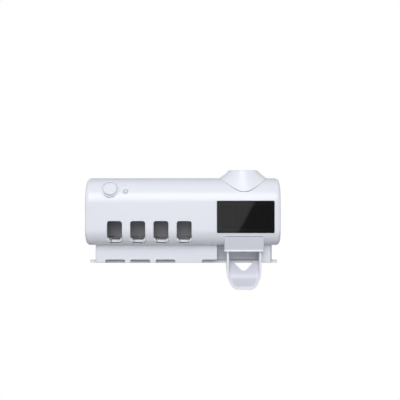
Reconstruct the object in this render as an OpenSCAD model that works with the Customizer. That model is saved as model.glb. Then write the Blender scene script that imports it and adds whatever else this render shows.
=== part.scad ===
// Wall-hung toothpaste dispenser and toothbrush steriliser, in millimetres.
// +X is to the right, +Z is up and +Y goes back into the wall, so the front looks along -Y.
// The origin is the middle of the wall plate, on the wall.

/* [Cover] */
// Width of the front cover
body_w = 236; // [226:1:260]
// Distance from the wall to the cover's face
body_d = 56; // [56:0.5:62]
// Height of the front cover
cover_h = 82; // [82:0.5:92]
// Radius of the cover's top front edge
top_r = 29.5; // [29:0.5:30]
// Radius of the cover's lower front edge
low_r = 19; // [17:0.5:19.5]
// Rounding between the cover's face and its ends
end_r = 5; // [4:0.5:6]
// Thickness of the moulded walls
wall = 2.4; // [2.2:0.1:2.6]

/* [Back] */
// Height of the wall plate
plate_h = 96; // [92:1:110]
// Width of the wall plate behind the housing
plate_w = 204; // [190:1:206]
// Thickness of the wall plate
plate_t = 3; // [2.5:0.1:3.5]
// Width of the ledge along the plate's lower edge
ledge_w = 236; // [220:1:260]
// Depth of the ledge in front of the pads
ledge_d = 15; // [12:0.5:20]
// Thickness of the ledge
ledge_t = 3; // [2.5:0.1:4]
// Height of the skirt under the cover
skirt_h = 22; // [21:0.5:24]
// Distance from the wall to the skirt's face
skirt_d = 35.6; // [34.6:0.2:36]
// Width of the skirt at its face
skirt_w = 216; // [200:1:218]
// Width of the skirt at its back
skirt_back_w = 224; // [218:1:228]

/* [Brush slots] */
// Number of brush slots
slot_count = 4; // [3:1:4]
// Distance between the middles of two slots
slot_pitch = 27.9; // [25:0.1:28]
// Width of a slot
slot_w = 18.2; // [17:0.1:19]
// Height of a slot
slot_h = 27.3; // [26:0.1:30]
// Height of a slot's lower edge above the cover's lower edge
slot_up = 2.5; // [2:0.1:3]
// Middle of the first slot from the cover's left end
slot_in = 36; // [34:0.5:40]
// Width of the gap that a brush's neck goes into
neck_w = 10.4; // [9:0.1:11]

/* [Solar panel] */
// Width of the solar panel
solar_w = 69; // [60:0.5:70]
// Height of the solar panel
solar_h = 38.4; // [34:0.2:40]
// Middle of the solar panel from the cover's right end
solar_in = 42.4; // [42:0.2:46]
// Middle of the solar panel above the cover's lower edge
solar_up = 34.6; // [32:0.2:38]

/* [Button] */
// Radius of the power button
button_r = 8.2; // [7:0.1:8.4]
// Middle of the button from the cover's left end
button_in = 30.3; // [28:0.1:32]
// Tilt of the button above the horizontal
button_tilt = 32; // [30:1:34]
// Travel of the button
button_travel = 0.8; // [0.5:0.1:1]

/* [Squeezer] */
// Middle of the squeezer from the cover's right end
pump_in = 44; // [43:0.5:48]
// Width of the push lever
lever_w = 41.8; // [41:0.1:43]
// Length of the push lever below the cover
lever_drop = 53.6; // [50:0.2:58]
// Thickness of the lever's cheeks
lever_t = 2.6; // [2.2:0.1:2.8]
// Swing of the push lever
lever_swing = 14; // [10:1:15]
// Radius of the bore that grips a tube's neck
port_r = 6.2; // [5.5:0.1:7]
// Radius of the funnel's rim
rim_r = 18.5; // [17:0.1:20]
// Height of the funnel's rim above the cover
rim_up = 9.5; // [7:0.1:12]
// How far the funnel's foot reaches forward over the cover
foot_front = 26.6; // [26:0.1:27]
// Half width of the funnel's foot
foot_half = 29.2; // [28:0.1:30]

/* [Hidden] */
$fn = 64;

// Gap between pieces that only sit beside each other
fit = 0.3;
// Radial gap of a pin or shaft that turns or slides
run_fit = 0.08;
// Radial gap of a pin or screw that is held fast
held_fit = 0.02;
// How far a cut runs past what it cuts
over = 1;
// Extra radius of a wire's bends
bend_swell = 0.1;

// Thickness of the adhesive pads
pad_t = 1;
// Gap between the wall plate and the housing's panel
hang_gap = 0.5;

// The cover's heights, with the wall plate's middle at zero
plate_low = -plate_h / 2;
// The skirt's edge hangs this far above the ledge's underside
skirt_up = 2;
skirt_low = plate_low + skirt_up;
cover_low = skirt_low + skirt_h;
cover_top = cover_low + cover_h;
half_w = body_w / 2;
// Centre lines of the cover's two front edges
top_y = -(body_d - top_r);
top_z = cover_top - top_r;
low_y = -(body_d - low_r);
low_z = cover_low + low_r;

// The housing's panel, which closes the cover's back
panel_back = pad_t + plate_t + hang_gap;
panel_front = panel_back + wall;
panel_half = half_w - wall - fit;
floor_top = cover_low + wall;
panel_top = cover_top - wall - fit;

// The squeezer's axis
pump_x = half_w - pump_in;
port_y = -26.5;

// Height of the cover's outside above the point y
function cover_z(y) =
    y > top_y ? cover_top : top_z + sqrt(pow(top_r, 2) - pow(top_y - y, 2));

// Helpers

module box(low, high) {
    translate(low) cube(high - low);
}

// An outline drawn in X and Z, as a slab from y_front to y_back
module y_slab(y_front, y_back) {
    translate([0, y_back, 0]) rotate([90, 0, 0]) linear_extrude(y_back - y_front) children();
}

// An outline drawn in Y and Z, as a bar from x_low to x_high
module x_bar(x_low, x_high) {
    translate([x_low, 0, 0]) rotate([90, 0, 90]) linear_extrude(x_high - x_low) children();
}

module y_rod(r, y_front, y_back) {
    translate([0, y_back, 0]) rotate([90, 0, 0]) cylinder(h = y_back - y_front, r = r);
}

module x_rod(r, x_low, x_high) {
    translate([x_low, 0, 0]) rotate([0, 90, 0]) cylinder(h = x_high - x_low, r = r);
}

module z_rod(r, z_low, z_high) {
    translate([0, 0, z_low]) cylinder(h = z_high - z_low, r = r);
}

// A rectangle about the origin with round corners
module round_rect(w, h, r) {
    square([w - 2 * r, h], center = true);
    square([w, h - 2 * r], center = true);
    for (x = [-1, 1], y = [-1, 1]) {
        translate([x * (w / 2 - r), y * (h / 2 - r)]) circle(r = r);
    }
}

module both_ends() {
    children();
    mirror([1, 0, 0]) children();
}

// A screw along +Z: the underside of its head is at zero and its shank points down
module screw(shank_r, shank_l, head_r, head_t) {
    translate([0, 0, -shank_l]) cylinder(h = shank_l, r = shank_r);
    difference() {
        cylinder(h = head_t, r = head_r);
        translate([0, 0, head_t / 2]) {
            cube([head_r, head_t / 2, 2 * head_t], center = true);
            cube([head_t / 2, head_r, 2 * head_t], center = true);
        }
    }
}

// A wire through a list of points, with a slightly fuller ball at each bend
module wire(points, r) {
    for (i = [1 : len(points) - 1]) {
        step = points[i] - points[i - 1];
        flat = norm([step[0], step[1]]);
        translate(points[i - 1])
            rotate([0, atan2(flat, step[2]), atan2(step[1], step[0])])
                cylinder(h = norm(step), r = r, $fn = 24);
    }
    for (i = [1 : 1 : len(points) - 2]) translate(points[i]) sphere(r = r + bend_swell, $fn = 24);
}

// Wall plate

// Corner radius of the wall plate
plate_corner_r = 6;
// Screw holes: radius, and half the distances between them
screw_hole_r = 2.2;
screw_half_x = 90;
screw_half_z = 36;
// Countersink of a screw hole
screw_sink_r = 4.2;
// Hooks that carry the housing: width, lip height, lip thickness, stem height and their places
hook_w = 16;
hook_h = 8;
hook_lip = 1.5;
hook_stem = 3;
hook_x = 58;
hook_z = 22;
// Rise that frees the housing from its hooks
hang_lift = hook_h - hook_stem + hang_gap;
// Adhesive pads: width, height, corner radius and pitch
pad_w = 56;
pad_h = 58;
pad_corner_r = 4;
pad_pitch = 58;
// Radius of the ledge's front corners
ledge_r = 5;

plate_y = -(pad_t + plate_t);
hook_y = -(panel_front + hang_gap);

module wall_plate() {
    color("whitesmoke") {
        difference() {
            union() {
                y_slab(plate_y, -pad_t) round_rect(plate_w, plate_h, plate_corner_r);
                ledge();
            }
            for (x = [-1, 1], z = [-1, 1]) {
                translate([x * screw_half_x, 0, z * screw_half_z]) {
                    y_rod(screw_hole_r, plate_y - over, over);
                    translate([0, plate_y, 0]) rotate([-90, 0, 0]) {
                        cylinder(h = plate_t / 2, r1 = screw_sink_r, r2 = screw_hole_r);
                    }
                }
            }
        }
        for (x = [-1, 1]) hook(x * hook_x);
    }
}

// The ledge that the housing stands on, with round front corners
module ledge() {
    translate([0, 0, plate_low]) linear_extrude(ledge_t) {
        translate([-ledge_w / 2 + ledge_r, -ledge_d]) square([ledge_w - 2 * ledge_r, ledge_d - pad_t]);
        translate([-ledge_w / 2, -ledge_d + ledge_r]) square([ledge_w, ledge_d - ledge_r - pad_t]);
        for (x = [-1, 1]) {
            translate([x * (ledge_w / 2 - ledge_r), -ledge_d + ledge_r]) circle(r = ledge_r);
        }
    }
}

module hook(x) {
    box([x - hook_w / 2, hook_y - hook_lip, hook_z], [x + hook_w / 2, plate_y + over, hook_z + hook_stem]);
    box([x - hook_w / 2, hook_y - hook_lip, hook_z], [x + hook_w / 2, hook_y, hook_z + hook_h]);
}

module adhesive_pads() {
    color("dimgray") for (x = [-1 : 1]) {
        translate([x * pad_pitch, 0, 0]) y_slab(-pad_t, 0) round_rect(pad_w, pad_h, pad_corner_r);
    }
}

// Rear housing

// Depth and thickness of the rim that guides the cover
rim_depth = 7;
rim_t = 2;
// Notches in the skirt's lower edge: width, height, corner, pitch and first middle from the left
notch_w = 24.4;
notch_h = 3.7;
notch_corner_r = 2;
notch_pitch = 30.8;
notch_in = 34.5;
notch_count = 3;
// Left edge of the notch beside the squeezer, from the cover's right end
side_notch_in = 95;
// The squeezer's cut-out in the floor and the skirt, each side of its axis
cut_left = 32.5;
cut_right = 22;
// Radius of the skirt's front corners
skirt_corner_r = 4;
// Posts for the liner: radius, and places from the first slot and the cover's lower edge
post_r = 3.5;
liner_x = [0, 80];
liner_z = [14, 44];
// Posts for the magnets
magnet_r = 4;
magnet_t = 3;
magnet_post_r = 5.4;
magnet_in = 10;
magnet_top_in = 14;
magnet_low_in = 12;
magnet_y = -20;
// Bosses under the rack
boss_r = 4;
// Drain holes in the floor
drain_r = 3;
drain_y = -22;

magnet_x = half_w - magnet_in;
magnet_zs = [cover_low + magnet_low_in, cover_top - magnet_top_in];
cut_low_x = pump_x - cut_left;
cut_high_x = pump_x + cut_right;
slot_x0 = -half_w + slot_in;
slots_right = slot_x0 + (slot_count - 1) * slot_pitch;

module skirt_plan(inset) {
    front = -skirt_d + inset;
    polygon([
        [-skirt_w / 2 + inset, front + skirt_corner_r],
        [-skirt_w / 2 + inset + skirt_corner_r, front],
        [skirt_w / 2 - inset - skirt_corner_r, front],
        [skirt_w / 2 - inset, front + skirt_corner_r],
        [skirt_back_w / 2 - inset, -panel_back],
        [-skirt_back_w / 2 + inset, -panel_back]
    ]);
    for (x = [-1, 1]) {
        translate([x * (skirt_w / 2 - inset - skirt_corner_r), front + skirt_corner_r])
            circle(r = skirt_corner_r);
    }
}

// The skirt's walls. Behind the ledge's front edge they stop above the ledge.
module skirt() {
    difference() {
        translate([0, 0, skirt_low]) linear_extrude(cover_low - skirt_low + wall / 2) skirt_plan(0);
        difference() {
            translate([0, 0, skirt_low - over])
                linear_extrude(cover_low - skirt_low + over) skirt_plan(wall);
            box([-half_w, -panel_front, skirt_low - 2 * over], [half_w, 0, cover_low + over]);
        }
        box([-half_w, -skirt_d + wall, skirt_low - over], [half_w, over, plate_low + ledge_t + fit]);
        for (i = [0 : notch_count - 1]) skirt_notch(-half_w + notch_in + i * notch_pitch, notch_w);
        side_w = cut_low_x - (half_w - side_notch_in) + notch_corner_r;
        skirt_notch(half_w - side_notch_in + side_w / 2, side_w);
    }
}

module skirt_notch(x, w) {
    translate([x, 0, skirt_low]) y_slab(-skirt_d - over, -skirt_d + wall + over)
        round_rect(w, 2 * notch_h, notch_corner_r);
}

// The funnel's foot from above, with a gap g round it, back to the wall
module foot_plan(g) {
    translate([pump_x, port_y]) {
        polygon(concat(foot_arc(g), [[foot_half + g, -port_y], [-foot_half - g, -port_y]]));
    }
}

// The panel and its rim from the front: they follow the round corners inside the cover
module tub_outline() {
    low = floor_top + fit;
    r = end_r - wall - fit;
    translate([0, (low + panel_top) / 2]) round_rect(2 * panel_half, panel_top - low, r);
    translate([-panel_half + 2 * r, floor_top - over])
        square([2 * (panel_half - 2 * r), low - floor_top + 2 * over]);
}

module rear_housing() {
    rim_y = -(panel_front + rim_depth);
    color("white") difference() {
        union() {
            y_slab(-panel_front, -panel_back) tub_outline();
            box([pump_x - foot_half, -panel_front, panel_top - over],
                [pump_x + foot_half, -panel_back, cover_top]);
            box([-panel_half, -skirt_d, cover_low], [panel_half, -panel_back, floor_top]);
            skirt();
            difference() {
                y_slab(rim_y, -panel_front + over) tub_outline();
                box([-panel_half + rim_t, rim_y - over, floor_top - 2 * over],
                    [panel_half - rim_t, -panel_front, panel_top - rim_t]);
                box([pump_x - foot_half - fit, rim_y - over, panel_top - rim_t - over],
                    [pump_x + foot_half + fit, -panel_front, panel_top + over]);
            }
            for (x = liner_x, z = liner_z) {
                translate([slot_x0 + x, 0, cover_low + z]) y_rod(post_r, -liner_back, -panel_front + over);
            }
            for (x = [-1, 1], z = magnet_zs) {
                translate([x * magnet_x, 0, z]) y_rod(magnet_post_r, magnet_y, -panel_front + over);
            }
            for (x = rack_xs, y = rack_ys) {
                translate([x, y, 0]) z_rod(boss_r, floor_top - over, rack_low);
            }
        }
        for (x = [-1, 1], z = magnet_zs) {
            translate([x * magnet_x, 0, z])
                y_rod(magnet_r + held_fit, magnet_y - over, magnet_y + magnet_t);
        }
        for (x = [-1, 1]) hook_window(x * hook_x);
        box([cut_low_x, -skirt_d - over, skirt_low - over], [cut_high_x, -panel_front, floor_top + over]);
        for (x = rack_xs, y = rack_ys) {
            translate([x, y, 0]) z_rod(screw_r + held_fit, cover_low - over, rack_low + over);
        }
        for (i = [0 : slot_count - 1]) {
            translate([slot_x0 + (i + 0.5) * slot_pitch, drain_y, 0])
                z_rod(drain_r, cover_low - over, floor_top + over);
        }
        for (x = [-1, 1], z = pump_screw_zs) {
            translate([pump_x + x * pump_screw_x, 0, z]) {
                y_rod(screw_r + fit, -panel_front - over, -panel_back + over);
                y_rod(screw_head_r + fit, -panel_back - screw_head_t - held_fit, -panel_back + over);
            }
        }
    }
}

// The window that drops over a hook, and that clears it when the housing is lifted
module hook_window(x) {
    box([x - hook_w / 2 - fit, -panel_front - over, hook_z - hang_lift - fit],
        [x + hook_w / 2 + fit, -panel_back + over, hook_z + hook_stem + fit]);
}

// Brush rack

// Thickness of the shelf, its gap above the floor and its front and back edges
rack_t = 3;
rack_gap = 1.1;
rack_front = 41.5;
rack_back = 10;
// How far the shelf runs past the outer slots
rack_margin = 16;
// Fork prongs: height above the shelf's underside, drop of the slanted top, their ends from the
// cover's face and how far the ends lean back below
prong_h = 6.1;
prong_cut = 3.4;
prong_in = 1.8;
prong_lean = 3;
// Steps of the round edge under a prong
prong_steps = 6;
// Screws that go into plastic: shank, head and head thickness
screw_r = 1.3;
screw_head_r = 2.6;
screw_head_t = 1.5;
screw_l = 7;

rack_low = floor_top + rack_gap;
rack_xs = [slot_x0 - rack_margin / 2, slots_right + rack_margin / 2];
rack_ys = [-30, -14];

module brush_rack() {
    prong_w = (slot_w - neck_w) / 2 - fit;
    color("white") difference() {
        union() {
            box([slot_x0 - rack_margin, -rack_front, rack_low],
                [slots_right + rack_margin, -rack_back, rack_low + rack_t]);
            for (i = [0 : slot_count - 1], s = [-1, 1]) {
                translate([slot_x0 + i * slot_pitch, 0, 0]) mirror([(1 - s) / 2, 0, 0]) prong(prong_w);
            }
        }
        for (x = rack_xs, y = rack_ys) {
            translate([x, y, 0]) z_rod(screw_r + fit, rack_low - over, rack_low + rack_t + over);
        }
    }
}

// One prong of a fork, on the +X side of the slot's middle. Its inner top edge is cut off at a slant,
// and its outer lower edge is round and keeps clear of the slot's corner.
module prong(w) {
    inner = neck_w / 2;
    tip = -body_d + prong_in;
    top = rack_low + prong_h;
    r = slot_low_r - fit;
    corner_x = slot_w / 2 - slot_low_r;
    corner_z = cover_low + slot_up + slot_low_r;
    start = asin((rack_low - corner_z) / r);
    intersection() {
        y_slab(tip, -rack_front + over) polygon(concat(
            [[inner, rack_low]],
            [for (k = [0 : prong_steps]) let (a = start * (1 - k / prong_steps))
                [corner_x + r * cos(a), corner_z + r * sin(a)]],
            [[inner + w, top], [inner + prong_cut, top], [inner, top - prong_cut]]
        ));
        x_bar(inner - over, inner + w + over) polygon([
            [tip, top + over], [tip, top - prong_cut], [tip + prong_lean, rack_low - over],
            [-rack_front + 2 * over, rack_low - over], [-rack_front + 2 * over, top + over]
        ]);
    }
}

module rack_screws() {
    color("silver") for (x = rack_xs, y = rack_ys) {
        translate([x, y, rack_low + rack_t]) screw(screw_r, screw_l, screw_head_r, screw_head_t);
    }
}

// Chamber liner

// Back of the liner from the wall, its thickness, the depth of its ends and its height
liner_back = 15;
liner_t = 1.5;
liner_d = 26;
liner_h = 41;
liner_up = 9.5;

module chamber_liner() {
    low_x = slot_x0 - rack_margin;
    high_x = slots_right + rack_margin;
    low_z_in = cover_low + liner_up;
    color("dimgray") {
        box([low_x, -liner_back - liner_t, low_z_in], [high_x, -liner_back, low_z_in + liner_h]);
        for (x = [low_x, high_x - liner_t]) {
            box([x, -liner_back - liner_d, low_z_in], [x + liner_t, -liner_back, low_z_in + liner_h]);
        }
    }
}

module housing_magnets() {
    color("silver") for (x = [-1, 1], z = magnet_zs) {
        translate([x * magnet_x, 0, z]) y_rod(magnet_r, magnet_y, magnet_y + magnet_t);
    }
}

// Funnel

// Steps round the funnel's front half and along each of its straight sides
funnel_steps = 32;
side_steps = 4;
// Rings between the rim and the foot, and how early the flare drops
flare_rings = 6;
flare_share = 0.85;
// Seat of the seal: radius, and its lower and upper ends below the cover's top
seal_r = 11;
seal_seat_low = 13;
seal_seat_top = 2;
seat_wall = 2.4;
// The cup above the seat, at its lower end and at the rim
cup_low_r = 9.5;
cup_top_r = 16.4;
// Neck between the funnel and the pump cap, and the paste duct
neck_r = 9;
duct_r = 3.2;
// Upper end of the pump cap below the cover's top
neck_low_in = 24;

rim_z = cover_top + rim_up;
seat_low = cover_top - seal_seat_low;
seat_top = cover_top - seal_seat_top;
neck_low = cover_top - neck_low_in;
foot_back = -panel_front - port_y;
foot_front_z = cover_z(port_y - foot_front);

// The foot's front edge, a half ellipse, with a gap g round it
function foot_arc(g) = [
    for (i = [0 : funnel_steps]) let (a = 180 + 180 * i / funnel_steps)
        [(foot_half + g) * cos(a), (foot_front + g) * sin(a)]
];

// The foot's outline from above, about the funnel's axis, turning left from its left corner
function foot_points() = concat(
    foot_arc(0),
    [for (i = [1 : side_steps]) [foot_half, foot_back * i / side_steps]],
    [for (i = [1 : 2 * side_steps - 1]) [foot_half * (1 - i / side_steps), foot_back]],
    [for (i = [side_steps : -1 : 1]) [-foot_half, foot_back * i / side_steps]]
);

// A ring of the flare: t is 0 at the rim and 1 at the foot
function flare_ring(t) = [
    for (p = foot_points())
        let (r = rim_r * p / norm(p), z = cover_z(port_y + p[1]))
            [r[0] + (p[0] - r[0]) * t, r[1] + (p[1] - r[1]) * t, rim_z + (z - rim_z) * pow(t, flare_share)]
];

// The foot's inner edge, one wall inside the cover's outside
function foot_inner_ring() = [
    for (p = foot_points())
        let (y = port_y + p[1], z = cover_z(y), n = y > top_y ? [0, 1] : [y - top_y, z - top_z] / top_r)
            [p[0], p[1] - wall * n[0], max(z - wall * n[1], foot_front_z)]
];

module funnel_skin() {
    rings = concat([for (i = [0 : flare_rings]) flare_ring(i / flare_rings)], [foot_inner_ring()]);
    count = len(rings[0]);
    last = len(rings) - 1;
    points = concat([for (ring = rings) each ring], [[0, 0, rim_z], [0, 0, seat_low - seat_wall]]);
    top = len(points) - 2;
    polyhedron(points, concat(
        [for (k = [0 : last - 1], i = [0 : count - 1]) let (j = (i + 1) % count)
            [k * count + i, k * count + j, (k + 1) * count + j]],
        [for (k = [0 : last - 1], i = [0 : count - 1]) let (j = (i + 1) % count)
            [k * count + i, (k + 1) * count + j, (k + 1) * count + i]],
        [for (i = [0 : count - 1]) [i, top, (i + 1) % count]],
        [for (i = [0 : count - 1]) [last * count + i, last * count + (i + 1) % count, top + 1]]
    ));
}

module tube_funnel() {
    color("white") translate([pump_x, port_y, 0]) difference() {
        union() {
            funnel_skin();
            z_rod(seal_r + seat_wall, seat_low - seat_wall, seat_top + over);
            z_rod(neck_r, neck_low, seat_low);
        }
        z_rod(seal_r + held_fit, seat_low, seat_top);
        translate([0, 0, seat_top - held_fit]) {
            cylinder(h = rim_z - seat_top + 2 * held_fit, r1 = cup_low_r, r2 = cup_top_r);
        }
        z_rod(cup_top_r, rim_z, rim_z + over);
        z_rod(duct_r, neck_low - over, seat_low + over);
    }
}

module tube_seal() {
    color("lightgray") translate([pump_x, port_y, 0]) difference() {
        z_rod(seal_r, seat_low, seat_top - held_fit);
        z_rod(port_r, seat_low - over, seat_top + over);
    }
}

// Pump

// The pump housing each side of its axis, its front, and its lower and upper ends
pump_half = 17.6;
pump_low_in = 6;
pump_top_in = 36;
// Chamber: radius, height above the cover's lower edge, back wall and length of the diaphragm
chamber_r = 12;
chamber_up = 10;
chamber_back = 5;
diaphragm_l = 18.8;
diaphragm_t = 1;
// Plunger: disc, shaft, head and their thicknesses, and the wall that guides the shaft
disc_r = 9;
disc_t = 1.8;
shaft_r = 4;
guide_t = 3;
head_r = 6.5;
head_t = 2;
// Lever's pin, hub and the bar that pushes the plunger
pin_r = 1.5;
hub_r = 4;
bar_r = 2;
pivot_back = 1.9;
pivot_rise = 18;
// Ears that carry the pin
ear_t = 3;
ear_h = 8;
// Nozzle: radius in the housing, flange, tip and their lengths
nozzle_r = 4.8;
nozzle_flange_r = 6.4;
nozzle_flange_t = 1.6;
nozzle_tip_r = 4.2;
nozzle_tip_l = 2.9;
nozzle_bore_r = 2.4;
nozzle_slit = 0.8;
// Pocket of the inlet valve
valve_r = 4.8;
valve_pocket_h = 4;
valve_t = 1.2;
valve_hub_r = 1.4;
// Flange of the pump cap, and its screws from the flange's edges
cap_flange_t = 3;
cap_screw_in = 3.4;
cap_screw_l = 8;
// Screws that hold the pump housing to the panel, from its axis and its ends
pump_screw_x = 12.6;
pump_screw_in = 7.4;
pump_screw_l = 9;
// Coils, wire radius and coil radius of the return spring
spring_coils = 4;
spring_wire_r = 0.4;
spring_coil_r = 5.2;

// How far the lever's bar pushes the plunger, and the space that the spring needs in front
plunger_travel = pivot_rise * sin(lever_swing) + pivot_back * (1 - cos(lever_swing));
spring_l = plunger_travel + 2 * (spring_coils + 1) * spring_wire_r;

pump_low = cover_low - pump_low_in;
pump_top = cover_low + pump_top_in;
chamber_z = cover_low + chamber_up;
chamber_back_y = -(panel_front + chamber_back);
diaphragm_back_y = chamber_back_y - fit;
diaphragm_front_y = diaphragm_back_y - diaphragm_l;
disc_back_y = diaphragm_front_y - fit;
chamber_front_y = disc_back_y - disc_t - fit;
pump_front_y = chamber_front_y - guide_t;
head_back_y = pump_front_y - spring_l;
head_front_y = head_back_y - head_t;
bar_y = head_front_y - fit - bar_r;
pivot_y = bar_y + pivot_back;
pivot_z = chamber_z + pivot_rise;
cap_screw_ys = [pump_front_y + cap_screw_in, -panel_front - cap_screw_in];
pump_screw_zs = [pump_low + pump_screw_in, pump_top - pump_screw_in];
lever_in_w = lever_w - 2 * lever_t;

module pump_cap() {
    color("gainsboro") difference() {
        union() {
            box([pump_x - pump_half, pump_front_y, pump_top],
                [pump_x + pump_half, -panel_front, pump_top + cap_flange_t]);
            translate([pump_x, port_y, 0]) z_rod(neck_r, pump_top, neck_low);
        }
        translate([pump_x, port_y, 0]) z_rod(duct_r, pump_top - over, neck_low + over);
        for (x = [-1, 1], y = cap_screw_ys) {
            translate([pump_x + x * (pump_half - cap_screw_in), y, 0])
                z_rod(screw_r + fit, pump_top - over, pump_top + cap_flange_t + over);
        }
    }
}

module pump_screws() {
    color("silver") for (x = [-1, 1], y = cap_screw_ys) {
        translate([pump_x + x * (pump_half - cap_screw_in), y, pump_top + cap_flange_t])
            screw(screw_r, cap_screw_l, screw_head_r, screw_head_t);
    }
}

module inlet_valve() {
    color("lightgray") translate([pump_x, port_y, 0]) {
        z_rod(valve_r, pump_top - valve_t, pump_top);
        z_rod(valve_hub_r, pump_top - valve_pocket_h + fit, pump_top);
    }
}

module pump_housing() {
    color("gainsboro") difference() {
        union() {
            box([pump_x - pump_half, pump_front_y, pump_low], [pump_x + pump_half, -panel_front, pump_top]);
            for (x = [-1, 1]) ear(x);
        }
        translate([pump_x, 0, chamber_z]) {
            y_rod(chamber_r + fit, chamber_front_y, chamber_back_y);
            y_rod(shaft_r + run_fit, pump_front_y - over, chamber_front_y + over);
        }
        translate([pump_x, port_y, 0]) {
            z_rod(duct_r, chamber_z, pump_top + over);
            z_rod(valve_r + fit, pump_top - valve_pocket_h, pump_top + over);
            z_rod(nozzle_r + held_fit, pump_low - over, chamber_z);
        }
        translate([pump_x, pivot_y, pivot_z]) x_rod(pin_r + held_fit, -2 * pump_half, 2 * pump_half);
        for (x = [-1, 1], y = cap_screw_ys) {
            translate([pump_x + x * (pump_half - cap_screw_in), y, 0])
                z_rod(screw_r + held_fit, pump_top + cap_flange_t - cap_screw_l - over, pump_top + over);
        }
        for (x = [-1, 1], z = pump_screw_zs) {
            translate([pump_x + x * pump_screw_x, 0, z])
                y_rod(screw_r + held_fit, -panel_front - pump_screw_l, -panel_front + over);
        }
    }
}

// One ear of the pump housing, with a round end about the pin
module ear(side) {
    middle = pump_x + side * (pump_half - ear_t / 2);
    x_bar(middle - ear_t / 2, middle + ear_t / 2) {
        translate([pivot_y, pivot_z]) circle(r = ear_h / 2);
        translate([pivot_y, pivot_z - ear_h / 2]) square([pump_front_y + over - pivot_y, ear_h]);
    }
}

module housing_screws() {
    color("silver") for (x = [-1, 1], z = pump_screw_zs) {
        translate([pump_x + x * pump_screw_x, -panel_back - screw_head_t, z]) rotate([-90, 0, 0])
            screw(screw_r, pump_screw_l, screw_head_r, screw_head_t);
    }
}

module pump_diaphragm() {
    color("lightgray") translate([pump_x, 0, chamber_z]) difference() {
        y_rod(chamber_r, diaphragm_front_y, diaphragm_back_y);
        y_rod(chamber_r - diaphragm_t, diaphragm_front_y + diaphragm_t, diaphragm_back_y + over);
        translate([0, port_y, 0]) z_rod(duct_r, -2 * chamber_r, 2 * chamber_r);
    }
}

module outlet_nozzle() {
    color("lightgray") translate([pump_x, port_y, pump_low]) difference() {
        union() {
            z_rod(nozzle_r, 0, chamber_z - chamber_r - fit - pump_low - fit);
            z_rod(nozzle_flange_r, -nozzle_flange_t, 0);
            translate([0, 0, -nozzle_flange_t - nozzle_tip_l])
                cylinder(h = nozzle_tip_l, r1 = nozzle_tip_r - nozzle_slit, r2 = nozzle_tip_r);
        }
        z_rod(nozzle_bore_r, -nozzle_flange_t - nozzle_tip_l / 2, chamber_z - pump_low);
        cube([2 * nozzle_bore_r, nozzle_slit, 4 * nozzle_tip_l], center = true);
    }
}

// A point of the spring's helix: turn counts its coils from the front
function spring_point(turn) =
    let (gap = spring_wire_r + fit)
        [spring_coil_r * cos(360 * turn), head_back_y + gap + (spring_l - 2 * gap) * turn / spring_coils,
            spring_coil_r * sin(360 * turn)];

// Rings along one coil and sides of the wire
turn_steps = 8;
sides = 6;
spring_path = [for (k = [0 : spring_coils * turn_steps]) spring_point(k / turn_steps)];
spring_least_gap = min([
    for (k = [turn_steps : len(spring_path) - 1]) norm(spring_path[k] - spring_path[k - turn_steps])
]) - 2 * spring_wire_r;
echo(spring_least_gap = spring_least_gap);

module return_spring() {
    count = spring_coils * turn_steps;
    points = [
        for (k = [0 : count], i = [0 : sides - 1])
            let (turn = k / turn_steps, a = 360 * i / sides, r = spring_coil_r + spring_wire_r * cos(a))
                [r * cos(360 * turn), spring_point(turn)[1] + spring_wire_r * sin(a), r * sin(360 * turn)]
    ];
    color("silver") translate([pump_x, 0, chamber_z]) polyhedron(points, concat(
        [for (k = [0 : count - 1], i = [0 : sides - 1]) let (j = (i + 1) % sides)
            [k * sides + i, (k + 1) * sides + i, (k + 1) * sides + j]],
        [for (k = [0 : count - 1], i = [0 : sides - 1]) let (j = (i + 1) % sides)
            [k * sides + i, (k + 1) * sides + j, k * sides + j]],
        [[for (i = [0 : sides - 1]) i]],
        [[for (i = [sides - 1 : -1 : 0]) count * sides + i]]
    ));
}

module lever_pin() {
    color("silver") translate([pump_x, pivot_y, pivot_z]) x_rod(pin_r, -lever_w / 2, lever_w / 2);
}

module plunger() {
    color("white") translate([pump_x, 0, chamber_z]) {
        y_rod(disc_r, disc_back_y - disc_t, disc_back_y);
        y_rod(shaft_r, head_back_y, disc_back_y - disc_t);
        y_rod(head_r, head_front_y, head_back_y);
    }
}

// Squeezer hood

// The hood's walls, its height above and below the cover's edge, and how its face leans
hood_wall = 1.4;
hood_rise = 11;
hood_drop = 7;
hood_lean = 2.4;
// How far the hood's upper edge sits behind the cover's face
hood_in = 0.8;
// Lip along the hood's lower edge: its height and how far it stands out
lip_h = 1.2;
lip_out = 0.5;
// Web that ties the hood to the pump housing
web_t = 2;
web_up = 1;

hood_top_y = body_d - hood_in;
hood_half = lever_w / 2 + fit + hood_wall;
hood_low = cover_low - hood_drop;
hood_top = cover_low + hood_rise;

// Side view of the hood's outside, whose face leans back to a lip
module hood_side() {
    hood_back = -skirt_d - hood_wall;
    low_front = -hood_top_y + hood_lean;
    polygon([
        [-hood_top_y, hood_top], [low_front, hood_low + lip_h], [low_front - lip_out, hood_low + lip_h],
        [low_front - lip_out, hood_low], [hood_back, hood_low], [hood_back, hood_top]
    ]);
}

module squeezer_hood() {
    color("lavender") {
        difference() {
            x_bar(pump_x - hood_half, pump_x + hood_half) hood_side();
            x_bar(pump_x - hood_half + hood_wall, pump_x + hood_half - hood_wall) {
                translate([hood_wall, 0]) polygon([
                    [-hood_top_y, hood_top + over], [-hood_top_y, hood_top],
                    [-hood_top_y + hood_lean, hood_low], [-hood_top_y + hood_lean, hood_low - over],
                    [0, hood_low - over], [0, hood_top + over]
                ]);
            }
        }
        box([pump_x - pump_half, -hood_top_y + hood_lean, cover_low + web_up - web_t],
            [pump_x + pump_half, pump_front_y, cover_low + web_up]);
    }
}

// Push lever

// Radius of the lever's lower sides, and where they start above its lower end
lever_side_r = 34;
lever_curve_h = 23.6;
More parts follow.
